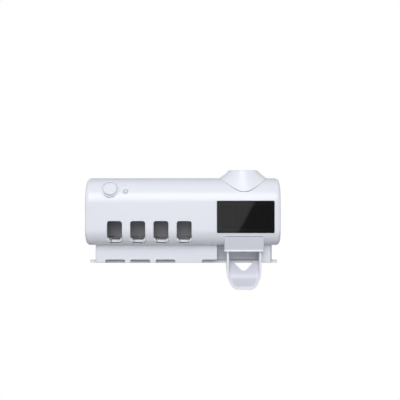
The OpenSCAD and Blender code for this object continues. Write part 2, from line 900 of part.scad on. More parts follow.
// The lever's front edge from the wall, and how its lower end leans back
lever_front = 51;
lever_toe = 1.6;
// Depth of the cheeks: at the arms, at the ramp's back and at the lower end
arm_d = 9.5;
ramp_d = 18;
toe_d = 5;
// Heights above the lever's lower end: fold line, foot of the ramp's back, back of the ramp, arms
fold_up = 16.2;
heel_up = 14;
ramp_low_up = 27.6;
ramp_top_up = 33;
arm_low_up = 50;
// Plate that the brush pushes: thickness and how far it sits behind the lever's front edge
scoop_t = 2.2;
scoop_in = 2.2;
// Notch in the ramp: radius and middle of its round end, and the slant of its sides
v_notch_r = 5.5;
v_notch_up = 27.4;
v_slant = 45;

lever_low = cover_low - lever_drop;
lever_half = lever_w / 2;

// Front view of the lever's outside, straight above and rounded below, drawn about its middle
module lever_outline(inset) {
    curve_z = lever_low + lever_curve_h;
    translate([-lever_half + inset, curve_z]) square([lever_w - 2 * inset, pivot_z + hub_r - curve_z]);
    intersection() {
        translate([-lever_half, lever_low + inset]) square([lever_w, lever_curve_h - inset]);
        translate([lever_half - lever_side_r, curve_z]) circle(r = lever_side_r - inset, $fn = 128);
        translate([-lever_half + lever_side_r, curve_z]) circle(r = lever_side_r - inset, $fn = 128);
    }
}

// Side view of a cheek
module lever_side() {
    polygon([
        [pivot_y - hub_r, pivot_z],
        [-lever_front, lever_low + arm_low_up],
        [-lever_front, lever_low + fold_up],
        [-lever_front + lever_toe, lever_low],
        [-lever_front + lever_toe + toe_d, lever_low],
        [-lever_front + toe_d + scoop_t, lever_low + heel_up],
        [-lever_front + ramp_d, lever_low + ramp_low_up],
        [-lever_front + ramp_d, lever_low + ramp_top_up],
        [-lever_front + arm_d, lever_low + arm_low_up],
        [pivot_y + hub_r, pivot_z]
    ]);
    translate([pivot_y, pivot_z]) circle(r = hub_r);
}

// Side view of the plate that the brush pushes: upright below the fold and leaning back above it
module scoop_side() {
    front = -lever_front + scoop_in;
    polygon([
        [front + lever_toe, lever_low],
        [front, lever_low + fold_up],
        [-lever_front + ramp_d - scoop_t, lever_low + ramp_top_up],
        [-lever_front + ramp_d, lever_low + ramp_top_up],
        [-lever_front + ramp_d, lever_low + ramp_top_up - scoop_t],
        [front + scoop_t, lever_low + fold_up - scoop_t / 2],
        [front + lever_toe + scoop_t, lever_low]
    ]);
}

// Front view of the notch in the ramp, about the middle of its round end
module v_notch() {
    touch = v_notch_r * [sin(v_slant), -cos(v_slant)];
    rise = ramp_top_up - v_notch_up + over;
    half = touch[0] + (rise - touch[1]) / tan(v_slant);
    circle(r = v_notch_r);
    polygon([[-touch[0], touch[1]], touch, [half, rise], [-half, rise]]);
}

module push_lever() {
    color("ghostwhite") translate([pump_x, 0, 0]) difference() {
        union() {
            intersection() {
                x_bar(-lever_half, lever_half) lever_side();
                y_slab(-body_d, 0) difference() {
                    lever_outline(0);
                    lever_outline(lever_t);
                    translate([-lever_half + lever_t, pivot_z]) square([lever_in_w, 2 * hub_r]);
                }
            }
            difference() {
                intersection() {
                    x_bar(-lever_half, lever_half) scoop_side();
                    y_slab(-body_d, 0) lever_outline(lever_t / 2);
                }
                translate([0, 0, lever_low + v_notch_up]) y_slab(-body_d, 0) v_notch();
            }
            translate([0, bar_y, chamber_z])
                x_rod(bar_r, -lever_half + lever_t / 2, lever_half - lever_t / 2);
        }
        translate([0, pivot_y, pivot_z]) x_rod(pin_r + run_fit, -lever_w, lever_w);
    }
}

// Front cover

// Corner radii of a slot: at the top and at the bottom
slot_top_r = 3.2;
slot_low_r = 4;
// Solar panel's recess, the step that carries the glass, the layers' thicknesses and their corners
recess_d = 1.5;
solar_step = 3.2;
glass_t = 1.2;
cell_t = 1.6;
solar_r = 1.4;
// Button: raised pad, groove round the button, pocket behind it, and the button's flange and stem
pad_rise = 0.4;
pad_ring = 2.8;
groove_w = 1.6;
groove_d = 1.4;
pocket_ring = 1.6;
pocket_in = 2.6;
flange_ring = 1.2;
flange_t = 1.7;
button_rise = 0.7;
button_edge = 0.6;
stem_r = 2;
stem_l = 4;
// Indicator: from the button's middle, its radii and its depth
indicator_x = 18.9;
indicator_down = 3;
indicator_r = 3.2;
indicator_lens_r = 1.8;
indicator_l = 5;
// Control board: size, thickness, its middle from the button's and its place below the surface
board_w = 54;
board_h = 22;
board_t = 1.6;
board_x = 4;
board_y = -2;
board_in = 14;
board_post_r = 2.6;
board_post_in = 3;
board_screw_l = 5;
// Tact switch
switch_w = 6;
switch_h = 3.8;
switch_plunger_r = 1.7;
switch_plunger_l = 2.6;
// Charging socket: height above the cover's lower edge, depth from the wall and size
charge_up = 47.6;
charge_y = -30;
socket_w = 9;
socket_h = 3.2;
socket_l = 7.4;
socket_wall = 0.4;
charge_board_w = 16;
charge_board_l = 17;
shelf_t = 2;
// Lamp strip: width, gap past the slots, and layers below the cover's top wall
uv_w = 12;
uv_y = -20;
uv_rail = 1.6;
uv_rail_w = 2;
uv_board_t = 1.6;
uv_lamp_w = 3.5;
uv_lamp_t = 1.5;
uv_count = 5;
uv_lens_wall = 1;
uv_lens_h = 3.4;
// Battery: radius, gap to the cover's inside, angle from the front up round the cover's rounding
cell_r = 9.2;
cell_gap = 0.87;
cell_angle = 40;
// Its length, its tip, and its cradle
cell_l = 65;
cell_tip_r = 2.8;
cell_tip_l = 1.5;
cell_in = 98.5;
cradle_wall = 2;
cradle_end = 4;
// Brackets of the cover's magnets
bracket_t = 3.2;

button_x = -half_w + button_in;
button_y = top_y - top_r * cos(button_tilt);
button_z = top_z + top_r * sin(button_tilt);
solar_x = half_w - solar_in;
solar_z = cover_low + solar_up;
cover_magnet_y = magnet_y - fit;
charge_z = cover_low + charge_up;
uv_top = cover_top - wall - uv_rail;
cell_reach = top_r - wall - cell_gap - cell_r;
cell_y = top_y - cell_reach * cos(cell_angle);
cell_z = top_z + cell_reach * sin(cell_angle);
cell_x = half_w - cell_in - cell_l;
glass_back = -body_d + recess_d - fit;

// The button's frame: local +Z points out of the cover and local +Y up along it
module button_frame() {
    translate([button_x, button_y, button_z]) rotate([90 - button_tilt, 0, 0]) children();
}

module cover_profile(inset, back) {
    intersection() {
        translate([top_y, top_z]) circle(r = top_r - inset, $fn = 96);
        translate([-body_d, cover_low]) square([body_d - back, cover_h]);
    }
    translate([low_y, low_z]) circle(r = low_r - inset, $fn = 96);
    translate([top_y, cover_low + inset]) square([-back - top_y, cover_h - 2 * inset]);
    translate([-body_d + inset, low_z]) square([body_d - inset + top_y, top_z - low_z]);
    translate([low_y, cover_low + inset]) square([top_y - low_y, low_z - cover_low - inset]);
}

// A quarter of a ring about X, from the angle a in the Y and Z plane
module quarter_ring(y, z, major, minor, a) {
    translate([half_w - end_r, y, z]) rotate([90, 0, 90]) rotate([0, 0, a])
        rotate_extrude(angle = 90, $fn = 96) translate([major, 0]) circle(r = minor, $fn = 48);
}

// The cover's outer form, or with an inset the hollow inside it
module cover_form(inset, back) {
    r = end_r - inset;
    x_bar(-half_w + end_r, half_w - end_r) cover_profile(inset, back);
    x_bar(-half_w + inset, half_w - inset) cover_profile(end_r, back);
    both_ends() {
        translate([half_w - end_r, 0, cover_top - end_r]) y_rod(r, top_y, -back);
        quarter_ring(top_y, top_z, top_r - end_r, r, 90);
        translate([half_w - end_r, -body_d + end_r, 0]) z_rod(r, low_z, top_z);
        quarter_ring(low_y, low_z, low_r - end_r, r, 180);
        translate([half_w - end_r, 0, cover_low + end_r]) y_rod(r, low_y, -back);
    }
}

module slot_outline() {
    translate([-slot_w / 2 + slot_top_r, slot_h - 2 * slot_top_r])
        square([slot_w - 2 * slot_top_r, 2 * slot_top_r]);
    translate([-slot_w / 2, slot_low_r]) square([slot_w, slot_h - slot_low_r - slot_top_r]);
    translate([-slot_w / 2 + slot_low_r, 0]) square([slot_w - 2 * slot_low_r, 2 * slot_low_r]);
    for (x = [-1, 1]) {
        translate([x * (slot_w / 2 - slot_top_r), slot_h - slot_top_r]) circle(r = slot_top_r);
        translate([x * (slot_w / 2 - slot_low_r), slot_low_r]) circle(r = slot_low_r);
    }
}

module front_cover() {
    color("white") difference() {
        union() {
            difference() {
                union() {
                    cover_form(0, panel_back);
                    button_frame() z_rod(button_r + pad_ring, -top_r / 2, pad_rise);
                }
                cover_form(wall, panel_back - over);
            }
            cover_inside();
        }
        cover_cuts();
    }
}

// Posts, rails, shelf and magnet brackets moulded inside the cover
module cover_inside() {
    button_frame() for (p = board_posts()) {
        translate([p[0], p[1], 0]) z_rod(board_post_r, -board_in, -post_top(p[1]));
    }
    for (y = [uv_y - uv_w / 2, uv_y + uv_w / 2 - uv_rail_w]) {
        box([uv_low_x(), y, uv_top], [uv_high_x(), y + uv_rail_w, cover_top - wall / 2]);
    }
    box([-half_w + wall / 2, charge_y - charge_board_w / 2, charge_z - shelf_t - board_t],
        [-half_w + wall + charge_board_l / 2, charge_y + charge_board_w / 2, charge_z - board_t]);
    for (x = [-1, 1], z = magnet_zs) magnet_bracket(x, z);
}

module magnet_bracket(side, z) {
    y_back = cover_magnet_y;
    y_front = y_back - magnet_t - bracket_t;
    difference() {
        union() {
            translate([side * magnet_x, 0, z]) y_rod(magnet_post_r, y_front, y_back);
            translate([side * (half_w - wall / 2 - (magnet_in - wall / 2) / 2), (y_front + y_back) / 2, z])
                cube([magnet_in - wall / 2, y_back - y_front, 2 * magnet_post_r], center = true);
        }
        translate([side * magnet_x, 0, z]) y_rod(magnet_r + held_fit, y_back - magnet_t, y_back + over);
    }
}

module cover_cuts() {
    // The open back of the lower wall, where the housing's floor goes
    box([-half_w + wall, -skirt_d - fit, cover_low - over], [half_w - wall, 0, floor_top + held_fit]);
    for (i = [0 : slot_count - 1]) {
        translate([slot_x0 + i * slot_pitch, 0, cover_low + slot_up]) {
            y_slab(-body_d - over, low_y + over) slot_outline();
        }
    }
    solar_slab(-body_d - over, -body_d + recess_d, -fit);
    solar_slab(-body_d, -body_d + wall + over, solar_step);
    button_frame() {
        z_rod(button_r + fit, -top_r / 2, pad_rise + over);
        z_rod(button_r + groove_w, pad_rise - groove_d, pad_rise + over);
        z_rod(button_r + pocket_ring, -top_r / 2, -pocket_in);
        translate([indicator_x, -indicator_down, 0])
            z_rod(indicator_r + held_fit, -indicator_l - wall, over);
        for (p = board_posts()) {
            translate([p[0], p[1], 0])
                z_rod(screw_r + held_fit, -board_in - over, -board_in + board_screw_l);
        }
    }
    translate([0, 0, foot_front_z - fit]) linear_extrude(cover_top) foot_plan(fit);
    box([pump_x - hood_half - fit, -body_d - over, cover_low - over],
        [pump_x + hood_half + fit, 0, hood_top + fit]);
    translate([0, charge_y, charge_z + socket_h / 2]) x_bar(-half_w - over, -half_w + wall + over)
        round_rect(socket_w + fit, socket_h + fit, socket_h / 2);
}

// Depth at which a post across the cover's rounding is all below the surface
function post_top(y) = top_r - sqrt(pow(top_r, 2) - pow(abs(y) + board_post_r, 2)) + fit;

function board_posts() = [
    for (x = [-1, 1], y = [-1, 1])
        [board_x + x * (board_w / 2 - board_post_in), board_y + y * (board_h / 2 - board_post_in)]
];

// A slab of the solar panel's outline, made smaller all round by the inset
module solar_slab(y_front, y_back, inset) {
    translate([solar_x, 0, solar_z]) y_slab(y_front, y_back)
        round_rect(solar_w - 2 * inset, solar_h - 2 * inset, solar_r);
}

module solar_glass() {
    color("black") solar_slab(glass_back - glass_t, glass_back, 0);
}

module solar_gasket() {
    color("black") difference() {
        solar_slab(glass_back, glass_back + fit, 0);
        solar_slab(glass_back - over, glass_back + fit + over, solar_step);
    }
}

module solar_cells() {
    color("midnightblue") solar_slab(glass_back, glass_back + cell_t, solar_step + fit);
}

module indicator_ring() {
    color("silver") button_frame() translate([indicator_x, -indicator_down, 0]) difference() {
        z_rod(indicator_r, -indicator_l, 0);
        z_rod(indicator_lens_r, -indicator_l - over, over);
    }
}

module indicator_lens() {
    color("white") button_frame() translate([indicator_x, -indicator_down, 0])
        z_rod(indicator_lens_r - held_fit, -indicator_l, -held_fit);
}

module indicator_lamp() {
    color("ivory") button_frame() translate([indicator_x, -indicator_down, 0])
        z_rod(indicator_lens_r, -board_in, -indicator_l - fit);
}

module control_board() {
    color("darkgreen") button_frame() difference() {
        translate([board_x, board_y, -board_in - board_t / 2])
            cube([board_w, board_h, board_t], center = true);
        for (p = board_posts()) {
            translate([p[0], p[1], 0]) z_rod(screw_r + fit, -board_in - board_t - over, -board_in + over);
        }
    }
}

// Chips on the board's back: width, height, thickness and middle, as shares of the board's size
chip_shares = [
    [0.2, 0.34, -0.18, 0.1], [0.12, 0.22, 0.14, 0.16], [0.09, 0.3, 0.3, -0.12], [0.14, 0.14, 0.04, -0.24]
];
chip_t = 1.4;

module board_chips() {
    color("black") button_frame() for (c = chip_shares) {
        translate([board_x + c[2] * board_w, board_y + c[3] * board_h, -board_in - board_t - chip_t / 2])
            cube([c[0] * board_w, c[1] * board_h, chip_t], center = true);
    }
}

module board_screws() {
    color("silver") button_frame() for (p = board_posts()) {
        translate([p[0], p[1], -board_in - board_t]) rotate([180, 0, 0])
            screw(screw_r, board_screw_l, screw_head_r, screw_head_t);
    }
}

module tact_switch() {
    color("dimgray") button_frame() difference() {
        translate([0, 0, -board_in + switch_h / 2]) cube([switch_w, switch_w, switch_h], center = true);
        z_rod(switch_plunger_r + run_fit, plunger_end() - button_travel - fit, -board_in + switch_h + over);
    }
}

function stem_end() = -pocket_in - fit - flange_t - stem_l;
function plunger_end() = stem_end() - switch_plunger_l;

module switch_plunger() {
    color("black") button_frame() z_rod(switch_plunger_r, plunger_end(), stem_end());
}

module power_button() {
    flange_top = -pocket_in - fit;
    color("white") button_frame() {
        z_rod(button_r, flange_top - flange_t / 2, pad_rise + button_rise - button_edge);
        translate([0, 0, pad_rise + button_rise - button_edge])
            cylinder(h = button_edge, r1 = button_r, r2 = button_r - button_edge);
        z_rod(button_r + flange_ring, flange_top - flange_t, flange_top);
        z_rod(stem_r, stem_end(), flange_top - flange_t);
    }
}

function uv_low_x() = slot_x0 - rack_margin;
function uv_high_x() = slots_right + rack_margin;

module uv_board() {
    color("darkgreen") box([uv_low_x(), uv_y - uv_w / 2, uv_top - uv_board_t],
        [uv_high_x(), uv_y + uv_w / 2, uv_top]);
}

module uv_lamps() {
    pitch = (uv_high_x() - uv_low_x()) / uv_count;
    color("gold") for (i = [0 : uv_count - 1]) {
        translate([uv_low_x() + (i + 0.5) * pitch, uv_y, uv_top - uv_board_t - uv_lamp_t / 2])
            cube([uv_lamp_w, uv_lamp_w, uv_lamp_t], center = true);
    }
}

module uv_lens() {
    top = uv_top - uv_board_t;
    color("aliceblue") difference() {
        box([uv_low_x(), uv_y - uv_w / 2, top - uv_lens_h], [uv_high_x(), uv_y + uv_w / 2, top]);
        box([uv_low_x() + uv_lens_wall, uv_y - uv_w / 2 + uv_lens_wall, top - uv_lens_h + uv_lens_wall],
            [uv_high_x() - uv_lens_wall, uv_y + uv_w / 2 - uv_lens_wall, top + over]);
    }
}

module battery() {
    color("steelblue") translate([0, cell_y, cell_z]) {
        x_rod(cell_r, cell_x, cell_x + cell_l);
        x_rod(cell_tip_r, cell_x + cell_l, cell_x + cell_l + cell_tip_l);
    }
}

module battery_cradle() {
    low_z_in = cell_z - cell_r - cradle_wall;
    ends = cell_tip_l + fit;
    low_x = cell_x - ends - cradle_end;
    high_x = cell_x + cell_l + ends + cradle_end;
    color("gainsboro") difference() {
        intersection() {
            box([low_x, -body_d, low_z_in], [high_x, cell_y + cell_r + cradle_wall, cell_z]);
            x_bar(low_x - over, high_x + over) cover_profile(wall + fit, 0);
        }
        translate([0, cell_y, cell_z]) x_rod(cell_r + held_fit, cell_x - ends, cell_x + cell_l + ends);
    }
}

module charge_board() {
    color("darkgreen") box([-half_w + wall + fit, charge_y - charge_board_w / 2, charge_z - board_t],
        [-half_w + wall + charge_board_l, charge_y + charge_board_w / 2, charge_z]);
}

module charge_socket() {
    in_w = socket_w - 2 * socket_wall;
    in_h = socket_h - 2 * socket_wall;
    color("silver") translate([0, charge_y, charge_z + socket_h / 2]) difference() {
        x_bar(-half_w + fit, -half_w + fit + socket_l)
            round_rect(socket_w, socket_h, (socket_h - socket_wall) / 2);
        x_bar(-half_w - over, -half_w + socket_l - over)
            round_rect(in_w, in_h, (in_h - socket_wall) / 2 - socket_wall / 2);
    }
}

module cover_magnets() {
    color("silver") for (x = [-1, 1], z = magnet_zs) {
        translate([x * magnet_x, 0, z]) y_rod(magnet_r, cover_magnet_y - magnet_t, cover_magnet_y);
    }
}

// Leads inside the cover, each from its piece to the back of the control board

lead_r = 0.8;
// Pads on the board's back, from the button's middle
battery_pad = [22, 2];
solar_pad = [16, -10];
uv_pad = [-2, 8];
charge_pad = [-14, -8];
// Bend of the lamp lead above the board, in the board's plane
uv_turn = [-2.3, 16.2];
// Height at which the solar lead crosses the cover, and its bend beside and behind the board
solar_lead_z = 20;
solar_turn = [35.7, -11];
solar_turn_back = 4;
// Lower end of the battery lead, behind and below the cell's middle
battery_lead_back = 4;
battery_lead_down = 3.5;
// Lower end of the charge lead, from the cover's left end
charge_lead_in = 16;

lead_off = lead_r + held_fit;

// A point on the control board's back, at the place p and with a lead's radius to spare
function board_point(p, back = 0) = let (depth = -board_in - board_t - lead_off - back) [
    button_x + p[0],
    button_y + p[1] * sin(button_tilt) - depth * cos(button_tilt),
    button_z + p[1] * cos(button_tilt) + depth * sin(button_tilt)
];

module solar_lead() {
    y = glass_back + cell_t + lead_off;
    turn = board_point(solar_turn, solar_turn_back);
    color("firebrick") wire([
        [solar_x - solar_w / 2 + 2 * solar_step, y, solar_lead_z],
        [turn[0], y, solar_lead_z],
        turn,
        board_point(solar_pad)
    ], lead_r);
}

module battery_lead() {
    low_x = cell_x - cell_tip_l - fit - cradle_end - lead_off;
    color("black") wire([
        [low_x, cell_y + battery_lead_back, cell_z - battery_lead_down],
        board_point(battery_pad)
    ], lead_r);
}

module uv_lead() {
    color("black") wire([
        [button_x + uv_turn[0], uv_y - uv_w / 2 - lead_off, uv_top - uv_board_t / 2],
        board_point(uv_turn),
        board_point(uv_pad)
    ], lead_r);
}

module charge_lead() {
    color("black") wire([
        [-half_w + charge_lead_in, charge_y, charge_z + lead_off],
        board_point(charge_pad)
    ], lead_r);
}

wall_plate();
adhesive_pads();
rear_housing();
brush_rack();
rack_screws();
chamber_liner();
housing_magnets();
tube_funnel();
tube_seal();
pump_cap();
pump_screws();
inlet_valve();
pump_housing();
housing_screws();
pump_diaphragm();
outlet_nozzle();
return_spring();
lever_pin();
squeezer_hood();
plunger();
push_lever();
front_cover();
solar_glass();
solar_gasket();
solar_cells();
indicator_ring();
indicator_lens();
indicator_lamp();
control_board();
board_chips();
board_screws();
tact_switch();
uv_board();
uv_lamps();
uv_lens();
battery();
battery_cradle();
charge_board();
charge_socket();
cover_magnets();
solar_lead();
battery_lead();
uv_lead();
charge_lead();
power_button();
switch_plunger();
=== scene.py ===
# %% [markdown]
# # A wall-hung toothpaste dispenser and brush steriliser
#
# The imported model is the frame: every solid of the object is already there, in metres, in its
# right place. This file dresses it. Each piece that shows gets its finish, and the pieces whose
# soft edges or curves matter are built again as smooth surfaces over the same solids.

import math

import bmesh
import bpy
import numpy as np
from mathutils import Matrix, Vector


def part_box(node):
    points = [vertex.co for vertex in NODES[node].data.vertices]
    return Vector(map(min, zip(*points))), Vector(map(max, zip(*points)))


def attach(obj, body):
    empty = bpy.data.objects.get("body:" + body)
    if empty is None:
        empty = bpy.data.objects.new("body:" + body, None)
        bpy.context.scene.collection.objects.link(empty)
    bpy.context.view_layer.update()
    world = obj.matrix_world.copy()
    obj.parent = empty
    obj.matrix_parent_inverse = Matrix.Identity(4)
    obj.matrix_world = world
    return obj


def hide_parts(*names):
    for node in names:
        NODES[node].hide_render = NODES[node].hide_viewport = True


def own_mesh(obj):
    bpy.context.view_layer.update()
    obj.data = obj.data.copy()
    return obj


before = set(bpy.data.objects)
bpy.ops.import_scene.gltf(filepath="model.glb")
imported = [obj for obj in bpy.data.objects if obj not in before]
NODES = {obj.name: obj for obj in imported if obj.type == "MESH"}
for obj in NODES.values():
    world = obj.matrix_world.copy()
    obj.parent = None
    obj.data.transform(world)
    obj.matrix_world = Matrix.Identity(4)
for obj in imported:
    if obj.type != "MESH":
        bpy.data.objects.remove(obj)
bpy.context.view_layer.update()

# %% [markdown]
# ## The view
#
# The photograph looks straight at the front from close to one metre. The camera stands 850 mm in
# front of the cover's face, and its lens is chosen so that 480 mm of that face fills the width.

# %% Camera
MM = 0.001
FACE_Y = -56 * MM
VIEW_X, VIEW_Z = 20.7 * MM, 31 * MM
VIEW_DISTANCE, VIEW_WIDTH = 0.85, 0.48


def new_object(name, data):
    """An object in the scene."""
    obj = bpy.data.objects.new(name, data)
    bpy.context.scene.collection.objects.link(obj)
    return obj


camera = new_object("camera", bpy.data.cameras.new("camera"))
camera.location = (VIEW_X, FACE_Y - VIEW_DISTANCE, VIEW_Z)
camera.rotation_euler = (math.radians(90), 0, 0)
camera.data.lens = camera.data.sensor_width * VIEW_DISTANCE / VIEW_WIDTH
bpy.context.scene.camera = camera
print("lens in mm:", round(camera.data.lens, 2))

# %% [markdown]
# ## Writing a material as a sum
#
# A procedural material is arithmetic on patterns. The small class below wraps one output of a
# node, so that `0.3 + 0.1 * grain` in Python adds the Math nodes that mean the same.

# %% A socket that can be used in sums
class Signal:
    """One output of a node. +, -, * and / with a number or another signal add a Math node."""

    def __init__(self, finish, out):
        self.finish, self.out = finish, out

    def _math(self, operation, first, second):
        return self.finish.node("Math", {"operation": operation}, {0: first, 1: second})

    def __add__(self, other):
        return self._math("ADD", self, other)

    def __radd__(self, other):
        return self._math("ADD", other, self)

    def __sub__(self, other):
        return self._math("SUBTRACT", self, other)

    def __rsub__(self, other):
        return self._math("SUBTRACT", other, self)

    def __mul__(self, other):
        return self._math("MULTIPLY", self, other)

    def __rmul__(self, other):
        return self._math("MULTIPLY", other, self)

    def __truediv__(self, other):
        return self._math("DIVIDE", self, other)

    def over(self, level):
        """1 where the signal is above the level, else 0."""
        return self._math("GREATER_THAN", self, level)

    def fraction(self):
        """The part after the decimal point, which repeats a pattern."""
        return self.finish.node("Math", {"operation": "FRACT"}, {0: self})


class Finish:
    """A material, or the world, under construction. node() adds any node, from its settings and inputs."""

    def __init__(self, name, owner=None):
        self.owner = owner or bpy.data.materials.new(name)
        self.owner.use_nodes = True
        self.tree = self.owner.node_tree
        self.tree.nodes.clear()

    def node(self, kind, settings=None, inputs=None, output=0):
        made = self.tree.nodes.new("ShaderNode" + kind)
        for key, value in (settings or {}).items():
            setattr(made, key, value)
        for key, value in (inputs or {}).items():
            if isinstance(value, Signal):
                self.tree.links.new(value.out, made.inputs[key])
            else:
                made.inputs[key].default_value = value
        return Signal(self, made.outputs[output])

    def place(self):
        """Where a point is on its object, in metres."""
        return self.node("TexCoord", output=3)

    def axes(self, place):
        """The x, y and z of a place."""
        split = self.tree.nodes.new("ShaderNodeSeparateXYZ")
        self.tree.links.new(place.out, split.inputs[0])
        return [Signal(self, out) for out in split.outputs]

    def ray(self, kind):
        """1 for rays of this kind, else 0."""
        path = self.tree.nodes.new("ShaderNodeLightPath")
        return Signal(self, path.outputs[f"Is {kind} Ray"])

    def noise(self, scale, detail=2.0, roughness=0.5, place=None):
        return self.node("TexNoise", inputs={
            "Vector": place or self.place(), "Scale": scale, "Detail": detail, "Roughness": roughness})

    def mix(self, share, first, second):
        """A colour between two colours."""
        settings = {"data_type": "RGBA"}
        return self.node("Mix", settings, {0: share, 6: first, 7: second}, output=2)

    def soft_edges(self, radius):
        """A normal that turns smoothly over an edge, as a moulded edge does."""
        return self.node("Bevel", {"samples": 6}, {"Radius": radius})

    def edge_share(self, normal):
        """0 on a plain face, and more where the softened normal leaves the true one."""
        true = self.node("NewGeometry", output=1)
        return 1 - self.node("VectorMath", {"operation": "DOT_PRODUCT"}, {0: normal, 1: true}, output=1)

    def bump(self, height, distance, strength, normal=None):
        inputs = {"Height": height, "Distance": distance, "Strength": strength}
        if normal is not None:
            inputs["Normal"] = normal
        return self.node("Bump", inputs=inputs)

    def done(self, **sockets):
        """The Principled shader and the output. Names use _ for a space."""
        named = {key.replace("_", " "): value for key, value in sockets.items()}
        return self.shown(self.node("BsdfPrincipled", inputs=named))

    def shown(self, shader, kind="Material"):
        """Ends the tree with this shader."""
        output = self.tree.nodes.new("ShaderNodeOutput" + kind)
        self.tree.links.new(shader.out, output.inputs["Surface"])
        return self.owner


WHITE = (1, 1, 1, 1)


def shade(colour, factor):
    """A colour made lighter or darker, as a node wants it."""
    return tuple(min(c * factor, 1.0) for c in colour[:3]) + (1.0,)


# %% [markdown]
# ## Moulded plastic
#
# The housing, the cover and most inner pieces are injection moulded. Such plastic is never one
# flat colour: the melt leaves broad faint clouds, the polished mould leaves a fine orange peel,
# hands leave smears that change the gloss, and the edges are rounder and a little lighter. The
# same recipe serves every moulded piece, with its own colour, gloss and edge radius.

# %% Moulded plastic
def moulded(name, colour, gloss, edge=0.4 * MM, peel=0.12, clouds=0.006, smears=0.08):
    """Clouds and edge wear in the colour, smears in the roughness, orange peel over soft edges."""
    f = Finish(name)
    normal = f.soft_edges(edge)
    worn = f.edge_share(normal)
    cloud = f.noise(24.0, 3.0)
    body = f.mix(cloud, shade(colour, 1 - clouds), shade(colour, 1 + clouds))
    smear = f.noise(75.0, 5.0, 0.65)
    fine = f.noise(1900.0, 2.0)
    return f.done(
        Base_Color=f.mix(worn * 0.6, body, shade(colour, 1.06)),
        Roughness=(1 - gloss) + smears * (smear - 0.5) + 0.15 * worn,
        Normal=f.bump(fine, 0.012 * MM, peel, normal),
    )


COVER_WHITE = (0.760, 0.780, 0.850)
INNER_WHITE = (0.70, 0.71, 0.75)
# The lever's plate and bar: the same lilac plastic painted darker, as painted shade.
PAINTED_SHADE_LEVER_WHITE = (0.665, 0.680, 0.760)
# The lever's rim and the hood's lip: the lilac plastic painted lighter, as a painted highlight.
PAINTED_LIT_WHITE = (0.790, 0.805, 0.875)
# The hood and its web: lilac plastic painted darker than the cover, as painted shade.
PAINTED_SHADE_HOOD_WHITE = (0.640, 0.652, 0.730)
PLATE_WHITE = (0.88, 0.89, 0.92)
LINER_GREY = (0.29, 0.293, 0.308)

shell_white = moulded("glossy white plastic", COVER_WHITE, gloss=0.72, edge=0.5 * MM, peel=0.08,
                      clouds=0.004, smears=0.04)
inner_white = moulded("satin white plastic", INNER_WHITE, gloss=0.55, peel=0.4)
# The darker copy of the lilac plastic, painted shade for the lever's plate and bar.
painted_shade_lever_white = moulded("satin lilac white plastic", PAINTED_SHADE_LEVER_WHITE, gloss=0.62)
# The lighter copy of the lilac plastic, painted light for the lever's rim and the hood's lip.
painted_lit_white = moulded("pale lilac white plastic of the lever's rim", PAINTED_LIT_WHITE, gloss=0.62)
# The hood's colour is painted shade: it is darker than the cover's plastic.
painted_shade_hood_white = moulded("hood's lilac white plastic, painted darker as shade", PAINTED_SHADE_HOOD_WHITE, gloss=0.62)
plate_white = moulded("satin white plastic of the plate", PLATE_WHITE, gloss=0.5, peel=0.4)
liner_dark = moulded("dark liner plastic", LINER_GREY, gloss=0.45, peel=0.4, clouds=0.06)
switch_black = moulded("black switch plastic", (0.02, 0.02, 0.022), gloss=0.5, edge=0.15 * MM)
print("moulded finishes:", sum("plastic" in m.name for m in bpy.data.materials))

# %% [markdown]
# ## Rubber, silicone, foam and sleeves
#
# Soft materials scatter light: their gloss is low and uneven. Silicone is milky, so a little
# light goes in and comes out elsewhere. Foam tape shows its open cells on a cut edge.

# %% Soft finishes
def soft(name, colour, gloss, grain, depth, milky=0.0, edge=0.3 * MM):
    """A fine grain in the colour and the surface. milky lets light in, which is the same all over."""
    f = Finish(name)
    normal = f.soft_edges(edge)
    pores = f.noise(grain, 4.0, 0.6)
    dust = f.noise(130.0, 4.0, 0.7)
    return f.done(
        Base_Color=f.mix(pores * 0.7 + dust * 0.3, shade(colour, 0.88), shade(colour, 1.12)),
        Roughness=(1 - gloss) + 0.12 * (dust - 0.5),
        Normal=f.bump(pores, depth, 0.5, normal),
        Subsurface_Weight=milky,
        Subsurface_Radius=(0.002, 0.002, 0.002),
    )


silicone = soft("milky silicone", (0.62, 0.63, 0.66), 0.55, 700.0, 0.02 * MM, milky=0.4)
gasket_rubber = soft("black rubber", (0.02, 0.02, 0.02), 0.3, 900.0, 0.03 * MM)
foam = soft("grey foam tape", (0.22, 0.225, 0.24), 0.1, 2600.0, 0.25 * MM)
red_lead = soft("red insulation", (0.42, 0.02, 0.02), 0.6, 500.0, 0.01 * MM)
black_lead = soft("black insulation", (0.018, 0.018, 0.02), 0.6, 500.0, 0.01 * MM)

# %% [markdown]
# ## Metals
#
# Screws, the pin, the spring, the magnets and the socket's can are bare steel or plated. Fine
# scratches change the gloss from place to place, and a faint film makes the colour a little uneven.

# %% Metals
def metal(name, colour, gloss, scratch, edge=0.15 * MM):
    """Bright metal whose scratches are noise stretched along one direction."""
    f = Finish(name)
    normal = f.soft_edges(edge)
    drawn = f.node("Mapping", inputs={"Vector": f.place(), "Scale": (1.0, 1.0, 14.0)})
    lines = f.noise(scratch, 3.0, 0.6, drawn)
    film = f.noise(160.0, 3.0)
    return f.done(
        Base_Color=f.mix(film, shade(colour, 0.92), shade(colour, 1.05)),
        Metallic=1.0,
        Roughness=(1 - gloss) + 0.18 * (lines - 0.5),
        Normal=f.bump(lines, 0.01 * MM, 0.2, normal),
    )


steel = metal("bright steel", (0.62, 0.63, 0.65), 0.72, 500.0)
nickel = metal("nickel plating", (0.66, 0.64, 0.60), 0.8, 260.0, edge=0.3 * MM)
ring_metal = metal("satin plated ring", (0.46, 0.47, 0.51), 0.5, 900.0, edge=0.25 * MM)

